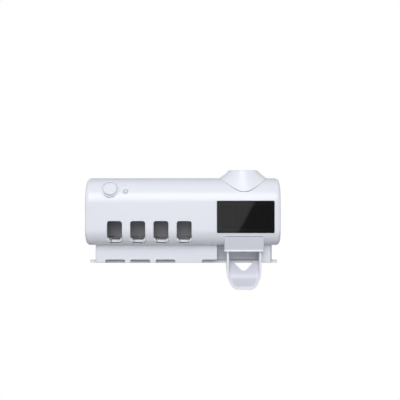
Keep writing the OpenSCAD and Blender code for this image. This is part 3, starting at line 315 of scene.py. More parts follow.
# %% [markdown]
# ## The solar panel
#
# The panel is a sheet of thin-film cells behind a pane of dark tinted glass. The cells are almost
# black, cut by hairline scribe lines into narrow upright strips with a paler contact bar at each
# end. The glass adds the deep gloss and mirrors the studio.

# %% Solar cells and their glass
CELL_LO, CELL_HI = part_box("solar_cells")
STRIPS, SCRIBE_SHARE, BAR_WIDTH = 8, 0.025, 1.2 * MM
STRIP_PITCH = (CELL_HI.x - CELL_LO.x) / STRIPS


def cell_film():
    """Strips from the fraction of x over the pitch: near 0 or 1 it is a scribe line."""
    f = Finish("thin film cells")
    x, _, z = f.axes(f.place())
    across = ((x - CELL_LO.x) / STRIP_PITCH).fraction()
    scribe = across.over(1 - SCRIBE_SHARE) + (1 - across.over(SCRIBE_SHARE))
    bars = z.over(CELL_HI.z - BAR_WIDTH) + (1 - z.over(CELL_LO.z + BAR_WIDTH))
    tint = f.mix(f.noise(40.0, 4.0), (0.006, 0.007, 0.016, 1), (0.012, 0.012, 0.024, 1))
    lined = f.mix(scribe, tint, (0.05, 0.045, 0.05, 1))
    return f.done(
        Base_Color=f.mix(bars, lined, (0.10, 0.095, 0.09, 1)),
        Roughness=0.32 + 0.1 * f.noise(220.0),
    )


def tinted_glass():
    """Clear dark glass. The tint is the same all over, and only a faint smear changes the gloss."""
    f = Finish("tinted glass")
    return f.done(
        Base_Color=(0.05, 0.052, 0.06, 1),
        Roughness=0.015 + 0.03 * f.noise(60.0, 4.0),
        IOR=1.46,
        Transmission_Weight=1.0,
    )


def clear_plastic(name, colour, clear):
    """Polished plastic. clear is the share of light that passes."""
    f = Finish(name)
    return f.done(
        Base_Color=f.mix(f.noise(150.0, 3.0), shade(colour, 0.96), shade(colour, 1.04)),
        Roughness=0.22 + 0.08 * f.noise(90.0, 4.0),
        Normal=f.bump(f.noise(700.0), 0.01 * MM, 0.2, f.soft_edges(0.3 * MM)),
        IOR=1.49,
        Transmission_Weight=clear,
    )


film = cell_film()
glass = tinted_glass()
lens_clear = clear_plastic("clear lamp lens", (0.9, 0.93, 0.97), 0.8)
lens_milky = clear_plastic("milky indicator lens", (0.78, 0.80, 0.85), 0.1)

# %% [markdown]
# ## Circuit boards, lamps and the battery
#
# A board is green lacquer over copper. The traces stand a few hundredths of a millimetre high and
# are slightly paler. Cell edges of a Voronoi pattern with a chessboard metric run in straight
# lines with corners, like traces.

# %% Electronic finishes
def circuit_lacquer():
    """Traces where the distance to a Voronoi cell's edge is small, pads where a dot pattern is."""
    f = Finish("green circuit lacquer")
    grid = f.node("TexVoronoi", {"feature": "F1", "distance": "CHEBYCHEV"},
                  {"Vector": f.place(), "Scale": 260.0, "Randomness": 0.8})
    trace = (grid.fraction() * 9.0).fraction().over(0.62)
    dots = f.node("TexVoronoi", {"feature": "F1"}, {"Vector": f.place(), "Scale": 330.0, "Randomness": 0.3})
    pad = 1 - dots.over(0.16)
    board = f.mix(trace, (0.008, 0.075, 0.03, 1), (0.012, 0.13, 0.055, 1))
    return f.done(
        Base_Color=f.mix(pad, board, (0.55, 0.55, 0.52, 1)),
        Metallic=pad * 0.9,
        Roughness=0.35 + 0.15 * f.noise(200.0),
        Normal=f.bump(trace, 0.03 * MM, 0.5),
    )


circuit = circuit_lacquer()
chip_resin = moulded("black chip resin", (0.015, 0.015, 0.016), gloss=0.35, edge=0.12 * MM, peel=0.8)
lamp_yellow = moulded("yellow lamp phosphor", (0.70, 0.52, 0.10), gloss=0.5, edge=0.15 * MM)
sleeve_blue = moulded("blue shrink sleeve", (0.05, 0.15, 0.36), gloss=0.7, edge=0.3 * MM, peel=0.9)
print("materials so far:", len(bpy.data.materials))

# %% [markdown]
# ## Finishes on the solids
#
# Most solids have the right shape already. Each gets its finish here, in place of the plain one
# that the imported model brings.

# %% Assign finishes
DRESS = {
    shell_white: ["front_cover", "rear_housing"],
    plate_white: ["wall_plate"],
    inner_white: ["brush_rack", "pump_cap", "pump_housing", "plunger", "battery_cradle"],
    liner_dark: ["chamber_liner"],
    switch_black: ["tact_switch", "switch_plunger"],
    silicone: ["inlet_valve"],
    gasket_rubber: ["solar_gasket"],
    foam: ["adhesive_pads"],
    steel: ["rack_screws", "pump_screws", "housing_screws", "board_screws", "lever_pin", "charge_socket"],
    nickel: ["housing_magnets", "cover_magnets"],
    ring_metal: ["indicator_ring"],
    film: ["solar_cells"],
    glass: ["solar_glass"],
    lens_clear: ["indicator_lamp", "uv_lens"],
    circuit: ["control_board", "uv_board", "charge_board"],
    chip_resin: ["board_chips"],
    lamp_yellow: ["uv_lamps"],
}


def paint(obj, material):
    """Makes this the object's only material."""
    obj.data.materials.clear()
    obj.data.materials.append(material)


for material, names in DRESS.items():
    for name in names:
        paint(NODES[name], material)
print("solids dressed:", sum(len(names) for names in DRESS.values()), "of", len(NODES))

# %% [markdown]
# ## From arrays to pieces
#
# A new piece is a grid of points worked out with numpy. `surface` joins such a grid into quads.
# Where the grid closes on itself, its last row or column joins the first one.

# %% Mesh helpers
MERGE = 0.002 * MM
ALONG_X, ALONG_Y, ALONG_Z = (1, 0, 0), (0, 1, 0), (0, 0, 1)


def surface(points, close_rows=False, close_columns=False):
    """(points, quads) of a grid of shape rows x columns x 3, counted row by row."""
    rows, columns = points.shape[:2]
    i = np.arange(rows if close_rows else rows - 1)[:, None]
    j = np.arange(columns if close_columns else columns - 1)[None, :]
    i2, j2 = (i + 1) % rows, (j + 1) % columns
    quads = np.stack(np.broadcast_arrays(
        i * columns + j, i * columns + j2, i2 * columns + j2, i2 * columns + j), axis=-1)
    return points.reshape(-1, 3), quads.reshape(-1, 4)


def together(*parts):
    """One (points, quads) from several."""
    starts = np.cumsum([0] + [len(points) for points, _ in parts[:-1]])
    return (np.concatenate([points for points, _ in parts]),
            np.concatenate([quads + start for (_, quads), start in zip(parts, starts)]))


def clean_mesh(name, part, outward=True):
    """A mesh from (points, quads) in millimetres. Doubles are merged, and faces can be turned outwards."""
    points, quads = part
    mesh = bpy.data.meshes.new(name)
    mesh.from_pydata(points * MM, [], quads)
    cleaned = bmesh.new()
    cleaned.from_mesh(mesh)
    bmesh.ops.remove_doubles(cleaned, verts=cleaned.verts, dist=MERGE)
    if outward:
        bmesh.ops.recalc_face_normals(cleaned, faces=cleaned.faces)
    cleaned.to_mesh(mesh)
    cleaned.free()
    return mesh


def piece(name, part, material, body, replaces=(), crease=35, outward=True):
    """A smooth object that rides a body, with its material and the solids it stands for."""
    mesh = clean_mesh(name, part, outward)
    mesh.shade_smooth()
    mesh.set_sharp_from_angle(angle=math.radians(crease))
    obj = new_object(name, mesh)
    paint(obj, material)
    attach(obj, body)
    if replaces:
        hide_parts(*replaces)
    print(f"{name}: {len(mesh.vertices)} points, {len(mesh.polygons)} faces")
    return obj


def arc(centre, radius, start, end, steps):
    """Points on an arc, from one angle to another in degrees."""
    turn = np.radians(np.linspace(start, end, steps))
    return np.stack([centre[0] + radius * np.cos(turn), centre[1] + radius * np.sin(turn)], axis=-1)


def chain(*runs):
    """One list of 2D points from single points and runs of points."""
    return np.concatenate([np.atleast_2d(np.asarray(run, float)) for run in runs])


def curve(start, corner, end, t):
    """A quadratic curve that leaves its start towards the corner and reaches its end from there."""
    return (1 - t)**2 * start + 2 * t * (1 - t) * corner + t**2 * end


def full_turn(steps):
    """Angles all the way round, without the last one, which is the first again."""
    return np.linspace(0, 2 * np.pi, steps, endpoint=False)


def lathe(profile, centre, along, side, steps=64):
    """A profile of (radius, height) turned about an axis.
    A point is centre + height * along + radius * (cos a * side + sin a * (along x side))."""
    along, side = np.asarray(along, float), np.asarray(side, float)
    a = full_turn(steps)
    ring = np.cos(a)[:, None] * side + np.sin(a)[:, None] * np.cross(along, side)
    r, h = profile[:, 0], profile[:, 1]
    points = centre + h[:, None, None] * along + r[:, None, None] * ring[None]
    return surface(points, close_columns=True)


def tube(path, radius, steps=12, up=(0.13, 0.21, 0.97)):
    """A round tube along a path: rings at right angles to the path, and a cap on each end."""
    tangent = np.gradient(path, axis=0)
    tangent /= np.linalg.norm(tangent, axis=1, keepdims=True)
    first = np.cross(tangent, np.asarray(up, float))
    first /= np.linalg.norm(first, axis=1, keepdims=True)
    second = np.cross(tangent, first)
    a = full_turn(steps)
    wall = path[:, None] + radius * (np.cos(a)[None, :, None] * first[:, None]
                                     + np.sin(a)[None, :, None] * second[:, None])
    ends = [np.repeat(path[k][None, None], steps, axis=1) for k in (0, -1)]
    return surface(np.concatenate([ends[0], wall, ends[1]]), close_columns=True)


# %% [markdown]
# ## The funnel
#
# The funnel holds the shoulder of an upturned tube. Its outside is one flowing skin from a round
# rim to a foot that is round in front, straight beside and behind, and that follows the rounded
# top of the cover. A loft suits it: rings of the same number of points, from the hidden edge under
# the foot over the flare and the lip, down the cup and the seal's seat, and back below.

# %% Funnel
AXIS = np.array([74.0, -26.5])
TOP_R, TOP_Y, TOP_Z = 29.5, -26.5, 28.5
LOW_R, LOW_Y, LOW_Z = 19.0, -37.0, -5.0
COVER_TOP, RIM_Z = 58.0, 67.5
FOOT_HALF, FOOT_FRONT, FOOT_BACK = 29.2, 26.6, 19.6
WALL, FLARE = 2.4, 0.88
RIM_R, RIM_ROUND, RIM_IN = 18.5, 0.9, 0.45
CUP_DROP, SEAT_TOP, SEAT_LOW, SEAT_R = 1.6, 56.0, 45.0, 11.0
DUCT_R, DUCT_LOW, SPIGOT_R, SPIGOT_TOP, SKIN_IN = 3.2, 34.0, 9.0, 42.6, 13.4
HOLD = 0.1


def cover_height(y):
    """Height of the cover's outside at depth y: flat, then a quarter circle down to the face."""
    return np.where(y > TOP_Y, COVER_TOP, TOP_Z + np.sqrt(np.maximum(TOP_R**2 - (TOP_Y - y)**2, 0)))


def foot_outline():
    """Half ellipse in front, straight sides, straight back, about the funnel's axis."""
    turn = np.radians(np.linspace(180, 360, 97))
    front = np.stack([FOOT_HALF * np.cos(turn), FOOT_FRONT * np.sin(turn)], axis=-1)
    right = np.stack([np.full(12, FOOT_HALF), np.linspace(0, FOOT_BACK, 13)[1:]], axis=-1)
    back = np.stack([np.linspace(FOOT_HALF, -FOOT_HALF, 41)[1:], np.full(40, FOOT_BACK)], axis=-1)
    left = np.stack([np.full(11, -FOOT_HALF), np.linspace(FOOT_BACK, 0, 13)[1:-1]], axis=-1)
    return np.concatenate([front, right, back, left])


foot = foot_outline()
way = foot / np.linalg.norm(foot, axis=1, keepdims=True)
foot_z = cover_height(AXIS[1] + foot[:, 1])


def funnel_rings():
    """All rings of the loft, from the foot's underside round to the same place. Where a step has to stay
    sharp, a second ring lies at the distance HOLD from it."""
    def ring(radius, z):
        return np.concatenate([radius * way, np.full((len(way), 1), z)], axis=1)

    lean = np.maximum(TOP_Y - AXIS[1] - foot[:, 1], 0) / TOP_R
    under = foot + np.stack([np.zeros(len(foot)), WALL * lean], axis=-1)
    under_z = np.maximum(foot_z - WALL * np.sqrt(1 - lean**2), foot_z.min())
    rings = [np.concatenate([under, under_z[:, None]], axis=1)]
    lip_z = RIM_Z - RIM_ROUND
    for t in np.linspace(1, 0, 25):
        flat = RIM_R * way + (foot - RIM_R * way) * t
        z = lip_z + (foot_z - lip_z) * t**FLARE
        rings.append(np.concatenate([flat, z[:, None]], axis=1))
    outer, inner = RIM_R - RIM_ROUND, RIM_R - RIM_ROUND - RIM_IN
    lip = chain(arc((outer, lip_z), RIM_ROUND, 15, 90, 6), arc((inner, lip_z), RIM_ROUND, 90, 165, 6))
    cup = [(16.1, RIM_Z - CUP_DROP), (13.2, 61.6), (9.9, 56.6), (9.5, SEAT_TOP)]
    seat = [(SEAT_R, SEAT_TOP), (SEAT_R, SEAT_TOP - HOLD), (SEAT_R, SEAT_LOW + HOLD), (SEAT_R, SEAT_LOW)]
    duct = [(DUCT_R, SEAT_LOW), (DUCT_R, DUCT_LOW), (SPIGOT_R, DUCT_LOW), (SPIGOT_R, SPIGOT_TOP)]
    rings += [ring(radius, z) for radius, z in chain(lip, cup, seat, duct, (SKIN_IN, SPIGOT_TOP))]
    rings = np.stack(rings)
    rings[..., :2] += AXIS
    return rings


funnel = piece("funnel_skin", surface(funnel_rings(), close_rows=True, close_columns=True),
               shell_white, "housing", replaces=["tube_funnel"], crease=40)

# %% [markdown]
# ## The push lever
#
# The lever is one bent tray: a strip that runs down one cheek, round the bottom and up the other,
# and a dished plate between the cheeks that the brush pushes. The plate stands upright below and
# slopes back above, where a V is cut out for the brush's neck. Two sheets give it: the strip is a
# function of the way round and the depth, the plate of the width and the height. A Solidify
# modifier gives each its wall, and a Bevel rounds the rims. A cutter that is turned from a plain
# profile bores the hole for the steel pin. The lever is one plastic, but its strip is painted
# lighter, as a painted highlight, and its plate and bar darker, as painted shade.

# %% Lever strip
PUMP_X, PUMP_Z = 74.0, -14.0
LEVER_HALF, LEVER_LOW, CURVE_Z, SIDE_R = 20.9, -77.6, -54.0, 34.0
PIVOT_Y, PIVOT_Z, HUB_R = -47.211, 4.0, 4.0
CHEEK_T, PLATE_T, PIN_HOLE_R, RIM_EDGE = 2.6, 2.2, 1.58, 0.5
LEVER_FRONT, TOE_FRONT = -51.0, -49.4
TOE_BACK, HEEL_BACK, WAIST_BACK, NECK_BACK = -44.4, -43.8, -33.0, -41.5
FOLD_Z, HEEL_Z, WAIST_Z, RAMP_TOP, NECK_Z = -61.4, -63.6, -50.0, -44.6, -27.6
CORNER, BORE_REACH = 3.0, 30.0


def side_line(z):
    """Half width of the lever at height z: straight, then an arc towards the bottom."""
    drop = np.clip(CURVE_Z - z, 0, None)
    return np.where(drop > 0, LEVER_HALF - SIDE_R + np.sqrt(SIDE_R**2 - drop**2), LEVER_HALF)


def strip_depths(z):
    """(front, back) of a cheek at height z, as broken lines, and a round end about the pivot."""
    front = np.interp(z, [LEVER_LOW, FOLD_Z, NECK_Z, PIVOT_Z],
                      [TOE_FRONT, LEVER_FRONT, LEVER_FRONT, PIVOT_Y - HUB_R])
    back = np.interp(z, [LEVER_LOW, HEEL_Z, WAIST_Z, RAMP_TOP, NECK_Z, PIVOT_Z],
                     [TOE_BACK, HEEL_BACK, WAIST_BACK, WAIST_BACK, NECK_BACK, PIVOT_Y + HUB_R])
    cap = np.sqrt(np.maximum(HUB_R**2 - np.clip(z - PIVOT_Z, 0, None)**2, 0))
    return np.maximum(front, PIVOT_Y - cap), np.where(z > PIVOT_Z, PIVOT_Y + cap, back)


def lever_strip():
    """The way down one cheek, along the bottom and up, times the depth from front to back."""
    crown = PIVOT_Z + HUB_R * np.sin(np.radians(np.linspace(86, 0, 14)))
    low = LEVER_LOW + CORNER
    down = np.concatenate([crown, np.linspace(PIVOT_Z, CURVE_Z, 70)[1:], np.linspace(CURVE_Z, low, 30)[1:]])
    half = side_line(down)
    edge = float(side_line(LEVER_LOW))
    t = np.linspace(0, 1, 14)[1:]
    bend_x = curve(half[-1], edge, edge - 1.4 * CORNER, t)
    bend_z = curve(low, LEVER_LOW, LEVER_LOW, t)
    floor_x = np.linspace(bend_x[-1], 0, 9)[1:]
    z = np.concatenate([down, bend_z, np.full(8, LEVER_LOW)])
    x = np.concatenate([half, bend_x, floor_x])
    z, x = np.concatenate([z, z[-2::-1]]), np.concatenate([-x, x[-2::-1]])
    front, back = strip_depths(z)
    v = np.linspace(0, 1, 9)
    y = front[:, None] + (back - front)[:, None] * v
    return np.stack([PUMP_X + x[:, None] + 0 * y, y, z[:, None] + 0 * y], axis=-1)


# %% Lever plate
NOTCH_R, NOTCH_Z, NOTCH_HALF = 5.5, -50.2, 13.4
PLATE_FOLD, TOE_LEAN, RAMP_DEPTH, FOLD_SOFT = -48.8, 1.6, 13.6, 1.6


def notch_line(x):
    """Upper edge of the plate: the round bottom of the V, its 45 degree sides, then level."""
    touch = NOTCH_R * math.sin(math.radians(45))
    round_part = NOTCH_Z - np.sqrt(np.maximum(NOTCH_R**2 - x**2, 0))
    sloped = NOTCH_Z - touch + (np.abs(x) - touch)
    return np.minimum(np.where(np.abs(x) < touch, round_part, sloped), RAMP_TOP)


def plate_front(z):
    """Depth of the plate's face: upright, then sloping back, with a soft fold between them."""
    upright = PLATE_FOLD + TOE_LEAN * (FOLD_Z - z) / (FOLD_Z - LEVER_LOW)
    slope = PLATE_FOLD + RAMP_DEPTH * (z - FOLD_Z) / (RAMP_TOP - FOLD_Z)
    return FOLD_SOFT * np.log(np.exp(upright / FOLD_SOFT) + np.exp(slope / FOLD_SOFT))


def lever_plate():
    """Columns across the lever, each from the bottom line up to the notch line."""
    reach = LEVER_HALF - CHEEK_T / 2
    middle = np.linspace(-NOTCH_HALF, NOTCH_HALF, 71)
    side = np.linspace(NOTCH_HALF, reach, 9)[1:]
    x = np.concatenate([-side[::-1], middle, side])
    arc_r = SIDE_R - CHEEK_T / 2
    floor = CURVE_Z - np.sqrt(np.maximum(arc_r**2 - (np.abs(x) + SIDE_R - LEVER_HALF)**2, 0))
    floor = np.maximum(floor, LEVER_LOW + CHEEK_T / 2)
    v = np.linspace(0, 1, 46)[:, None]
    z = floor + (notch_line(x) - floor) * v
    return np.stack([PUMP_X + x + 0 * z, plate_front(z) + PLATE_T / 2, z], axis=-1)


# %% Lever as one object
def thicken(obj, wall, offset, edge, steps=3):
    """A wall of even thickness, then rounded rims."""
    solid = obj.modifiers.new("wall", "SOLIDIFY")
    solid.thickness, solid.offset, solid.use_even_offset = wall * MM, offset, True
    bevel = obj.modifiers.new("edge", "BEVEL")
    bevel.width, bevel.segments, bevel.limit_method = edge * MM, steps, "ANGLE"
    bevel.angle_limit = math.radians(50)
    return obj


def settle(obj):
    """Applies an object's modifiers, so that pieces can be joined."""
    graph = bpy.context.evaluated_depsgraph_get()
    mesh = bpy.data.meshes.new_from_object(obj.evaluated_get(graph), depsgraph=graph)
    obj.modifiers.clear()
    obj.data = mesh
    return obj


def rod(centre, radius, half, steps):
    """A cylinder along X."""
    profile = chain((0, -half), (radius, -half), (radius, half), (0, half))
    return lathe(profile, np.array(centre), ALONG_X, ALONG_Y, steps)


def bored(obj, centre, radius, half):
    """A round hole along X through the object."""
    cutter = new_object("cutter", clean_mesh("cutter", rod(centre, radius, half, 48)))
    cut = obj.modifiers.new("bore", "BOOLEAN")
    cut.object, cut.operation, cut.solver = cutter, "DIFFERENCE", "EXACT"
    settle(obj)
    bpy.data.objects.remove(cutter)


# The strip takes the lighter copy of the plastic: a painted highlight on the rim.
strip = piece("lever_tray", surface(lever_strip()), painted_lit_white, "lever",
              replaces=["push_lever"], outward=False)
thicken(strip, CHEEK_T, -1, RIM_EDGE)
settle(strip)
bored(strip, (PUMP_X, PIVOT_Y, PIVOT_Z), PIN_HOLE_R, BORE_REACH)

# The plate takes the darker copy of the plastic: painted shade.
plate = piece("lever_plate", surface(lever_plate()), painted_shade_lever_white, "lever", outward=False)
thicken(plate, PLATE_T, 0, RIM_EDGE)
settle(plate)

BAR_Y, BAR_R, BAR_HALF = -49.111, 2.0, 19.8
bar = rod((PUMP_X, BAR_Y, PUMP_Z), BAR_R, BAR_HALF, 40)
# The bar is painted darker too, as shade.
piece("lever_bar", bar, painted_shade_lever_white, "lever")

# %% [markdown]
# ## The squeezer's hood
#
# The hood is a thin shell round the top of the lever: two cheeks and a face that leans back and
# ends in a small lip. Seen from above its wall follows a U with tight corners, and each row of the
# grid is that U at one height. The hood and its web are painted darker than the cover, as painted
# shade, and the lip lighter, as a painted highlight.

# %% Hood
HOOD_HALF, HOOD_TOP, HOOD_LOW, HOOD_BACK, HOOD_T = 22.6, -13.0, -31.0, -37.0, 1.4
HOOD_FRONT, HOOD_LEAN, HOOD_CORNER, HOOD_EDGE = -55.2, 2.4, 1.6, 0.3
HOOD_LIP, HOOD_LIP_T, HOOD_LIP_SOFT = 1.25, 0.55, 0.09
WEB_HALF, WEB_FRONT, WEB_BACK, WEB_LOW, WEB_TOP, WEB_ROUND = 17.6, -52.4, -36.4, -25.0, -23.0, 0.4


def hood_sheet():
    """The U from the left cheek round the face to the right one, times the height."""
    face = np.linspace(HOOD_TOP, HOOD_LOW + 1.7, 22)
    z = np.concatenate([face, np.linspace(HOOD_LOW + 1.6, HOOD_LOW, 9)])
    share = (HOOD_TOP - z) / (HOOD_TOP - HOOD_LOW)
    lip = HOOD_LIP_T / (1 + np.exp(-(HOOD_LOW + HOOD_LIP - z) / HOOD_LIP_SOFT))
    front = HOOD_FRONT + HOOD_LEAN * share - lip
    turn = np.radians(np.linspace(0, 90, 9))[None, :]
    cheek = np.linspace(0, 1, 14)[None, :-1]
    y_start = front[:, None] + HOOD_CORNER
    left_y = HOOD_BACK + (y_start - HOOD_BACK) * cheek
    bend_x = -HOOD_HALF + HOOD_CORNER * (1 - np.cos(turn)) + 0 * y_start
    bend_y = y_start - HOOD_CORNER * np.sin(turn)
    x = np.concatenate([np.full_like(left_y, -HOOD_HALF), bend_x], axis=1)
    y = np.concatenate([left_y, bend_y], axis=1)
    middle = np.linspace(x[0, -1], 0, 12)[None, 1:] + 0 * y_start
    x = np.concatenate([x, middle], axis=1)
    y = np.concatenate([y, front[:, None] + 0 * middle], axis=1)
    x = np.concatenate([x, -x[:, -2::-1]], axis=1)
    y = np.concatenate([y, y[:, -2::-1]], axis=1)
    return np.stack([PUMP_X + x, y, z[:, None] + 0 * x], axis=-1)


# The shell is painted darker than the cover, as painted shade.
hood = piece("hood_shell", surface(hood_sheet()), painted_shade_hood_white, "housing",
             replaces=["squeezer_hood"], outward=False)
thicken(hood, HOOD_T, -1, HOOD_EDGE)
# The lip's faces take the lighter copy of the plastic: a painted highlight along the lip.
hood.data.materials.append(painted_lit_white)
places = np.zeros(len(hood.data.vertices) * 3)
hood.data.vertices.foreach_get("co", places)
height = places[2::3]
painted_lit_lip = [height[list(face.vertices)].max() < (HOOD_LOW + HOOD_LIP) * MM for face in hood.data.polygons]
hood.data.polygons.foreach_set("material_index", np.array(painted_lit_lip, dtype=np.int32))


def block(low, high, radius, steps=4):
    """A box with rounded upright edges: its outline at two heights, and closed top and bottom."""
    low, high = np.asarray(low, float), np.asarray(high, float)
    cx, cy = (low[0] + high[0]) / 2, (low[1] + high[1]) / 2
    hx, hy = (high[0] - low[0]) / 2 - radius, (high[1] - low[1]) / 2 - radius
    corners = [arc((sx * hx, sy * hy), radius, a, a + 90, steps)
               for sx, sy, a in ((1, 1, 0), (-1, 1, 90), (-1, -1, 180), (1, -1, 270))]
    outline = np.concatenate(corners) + (cx, cy)
    middle = np.broadcast_to([cx, cy], outline.shape)
    rows = [np.concatenate([flat, np.full((len(flat), 1), z)], axis=1)
            for flat, z in ((middle, low[2]), (outline, low[2]), (outline, high[2]), (middle, high[2]))]
    return surface(np.stack(rows), close_columns=True)


web = block((PUMP_X - WEB_HALF, WEB_FRONT, WEB_LOW), (PUMP_X + WEB_HALF, WEB_BACK, WEB_TOP), WEB_ROUND)
# The web is painted darker as shade too.
piece("hood_web", web, painted_shade_hood_white, "housing")

# %% [markdown]
# ## Rounded lips
#
# Each slot in the cover and the window of the solar panel ends in a moulded lip, half a
# millimetre round. It catches the light as a thin bright line. A lip is a tube whose path is the
# opening's outline, laid on the cover's curved face and sunk into it, so only its crown shows.

# %% Slot and window lips
def face_depth(z):
    """Depth of the cover's outside at height z: two quarter circles and the flat face between."""
    top = TOP_Y - np.sqrt(np.maximum(TOP_R**2 - np.maximum(z - TOP_Z, 0)**2, 0))
    low = LOW_Y - np.sqrt(np.maximum(LOW_R**2 - np.maximum(LOW_Z - z, 0)**2, 0))
    return np.where(z > TOP_Z, top, np.where(z < LOW_Z, low, FACE_Y / MM))


def rounded_outline(x, z, width, height, top_r, low_r):
    """A closed outline with its own corner radius above and below, evenly enough spaced."""
    w, h = width / 2, height / 2
    run = np.linspace(0, 1, 12)[1:-1, None]
    quarters = ((1, 1, top_r, 0), (-1, 1, top_r, 90), (-1, -1, low_r, 180), (1, -1, low_r, 270))
    corners = [arc((x + right * (w - r), z + up * (h - r)), r, start, start + 90, 9)
               for right, up, r, start in quarters]
    runs = [a[-1] + (b[0] - a[-1]) * run for a, b in zip(corners, corners[1:] + corners[:1])]
    return np.concatenate([part for pair in zip(corners, runs) for part in pair])


def lip(outline, radius, sunk, steps=14):
    """A ring of round section: in the outline's plane it goes outwards, across it along Y."""
    tangent = np.roll(outline, -1, axis=0) - np.roll(outline, 1, axis=0)
    tangent /= np.linalg.norm(tangent, axis=1, keepdims=True)
    out = np.stack([tangent[:, 1], -tangent[:, 0]], axis=-1)
    a = full_turn(steps)
    flat = outline[:, None] + radius * np.cos(a)[None, :, None] * out[:, None]
    y = face_depth(flat[..., 1]) + sunk - radius * np.sin(a)[None]
    points = np.stack([flat[..., 0], y, flat[..., 1]], axis=-1)
    return surface(points, close_rows=True, close_columns=True)


LIP_R = 0.5
SLOT_W, SLOT_H, SLOT_LOW, SLOT_TOP_R, SLOT_LOW_R, SLOT_LIP_SUNK = 18.2, 27.3, -21.5, 3.5, 4.3, 0.2
SLOT_OUT, SLOT_FIRST_X, SLOT_PITCH, SLOTS = 0.7, -82.0, 27.9, 4


def slot_lip(x):
    """The lip of the slot whose middle is at x."""
    z = SLOT_LOW + SLOT_H / 2
    outline = rounded_outline(x, z, SLOT_W + SLOT_OUT, SLOT_H + SLOT_OUT, SLOT_TOP_R, SLOT_LOW_R)
    return lip(outline, LIP_R, SLOT_LIP_SUNK)


slot_lips = together(*[slot_lip(x) for x in SLOT_FIRST_X + SLOT_PITCH * np.arange(SLOTS)])
piece("slot_lips", slot_lips, shell_white, "cover")

WINDOW_X, WINDOW_Z, WINDOW_W, WINDOW_H, WINDOW_R = 75.6, 10.6, 69.6, 39.0, 1.8
WINDOW_OUT, WINDOW_LIP_SUNK = 0.8, 0.25
window = rounded_outline(
    WINDOW_X, WINDOW_Z, WINDOW_W + WINDOW_OUT, WINDOW_H + WINDOW_OUT, WINDOW_R, WINDOW_R)
piece("window_lip", lip(window, LIP_R, WINDOW_LIP_SUNK), shell_white, "cover")

# %% [markdown]
# ## The power button and the indicator
#
# The button is a shallow dished cap in a ring groove, tilted with the cover's rounding. It is
# turned from one profile about the tilted axis, with its hidden flange and stem. The indicator's
# lens is a low dome inside the plated ring.

# %% Button and lens
TILT = math.radians(32)
OUT = np.array([0, -math.cos(TILT), math.sin(TILT)])
UP = np.array([0, math.sin(TILT), math.cos(TILT)])
ACROSS = np.array([1.0, 0, 0])
BUTTON_X, BUTTON_R, BUTTON_ROUND = -87.7, 8.2, 0.9
DISH_R, DISH_LOW, DISH_DEPTH = 6.9, 0.72, 0.34
FLANGE_R, FLANGE_TOP, FLANGE_LOW, STEM_R, STEM_LOW = 9.4, -2.9, -4.6, 2.0, -8.6
BUTTON = np.array([BUTTON_X, TOP_Y - TOP_R * math.cos(TILT), TOP_Z + TOP_R * math.sin(TILT)])

dish = np.linspace(0, DISH_R, 14)
cap = chain(np.stack([dish, DISH_LOW + DISH_DEPTH * (dish / DISH_R)**2], axis=-1),
            arc((BUTTON_R - BUTTON_ROUND, 0.2), BUTTON_ROUND, 88, 0, 7),
            [(BUTTON_R, -3.7), (BUTTON_R, FLANGE_TOP), (FLANGE_R, FLANGE_TOP), (FLANGE_R, FLANGE_LOW)],
            [(STEM_R, FLANGE_LOW), (STEM_R, STEM_LOW), (0, STEM_LOW)])
piece("button_cap", lathe(cap, BUTTON, OUT, UP, 96), shell_white, "button",
      replaces=["power_button"])

LENS_R, LENS_RISE, LENS_LOW, DOME_R = 1.78, 0.35, -5.0, 1.7
LENS_ACROSS, LENS_DOWN = 18.9, 3.0
LENS = BUTTON + LENS_ACROSS * ACROSS - LENS_DOWN * UP
dome_r = np.linspace(0, DOME_R, 9)
dome = chain(np.stack([dome_r, LENS_RISE * (1 - (dome_r / LENS_R)**2)], axis=-1),
             [(LENS_R, -0.05), (LENS_R, LENS_LOW), (0, LENS_LOW)])
piece("indicator_dome", lathe(dome, LENS, OUT, UP, 48), lens_milky, "cover",
      replaces=["indicator_lens"])

# %% [markdown]
# ## Silicone pieces
#
# The seal that grips the tube's neck, the pump's diaphragm and the nozzle are moulded silicone.
# Their solids are plain, so each is turned again with the rounded lips and rings that make it
# work: the seal's entry is rounded and its bore grooved, the diaphragm's wall has shallow rings,
# and the nozzle's tip is round.

# %% Silicone pieces
DOWN_AXIS = np.array([AXIS[0], AXIS[1], 0.0])
NECK_R, GROOVE_R, GROOVE_HALF, SEAL_CUT = 6.2, 6.45, 0.3, 0.4


def groove(z):
    """A shallow groove in the seal's bore, about height z."""
    return [(NECK_R, z - GROOVE_HALF), (GROOVE_R, z), (NECK_R, z + GROOVE_HALF)]


seal = chain(arc((6.9, 55.2), 0.7, 180, 90, 6), [(10.4, 55.9)], arc((10.4, 55.3), 0.6, 90, 0, 5)[1:],
             [(SEAT_R, SEAT_LOW + SEAL_CUT), (SEAT_R - SEAL_CUT, SEAT_LOW)],
             [(NECK_R + SEAL_CUT, SEAT_LOW), (NECK_R, SEAT_LOW + SEAL_CUT)],
             groove(48.3), groove(51.3), [(NECK_R, 55.2)])
piece("seal_ring", lathe(seal, DOWN_AXIS, ALONG_Z, ALONG_X, 96), silicone, "housing",
      replaces=["tube_seal"])


BELLOWS_FRONT, BELLOWS_BACK, BELLOWS_R, BELLOWS_WALL, BELLOWS_FLOOR = -31.0, -12.2, 11.75, 0.9, 1.2
WAVE_DEPTH, WAVE_PITCH = 0.22, 3.2


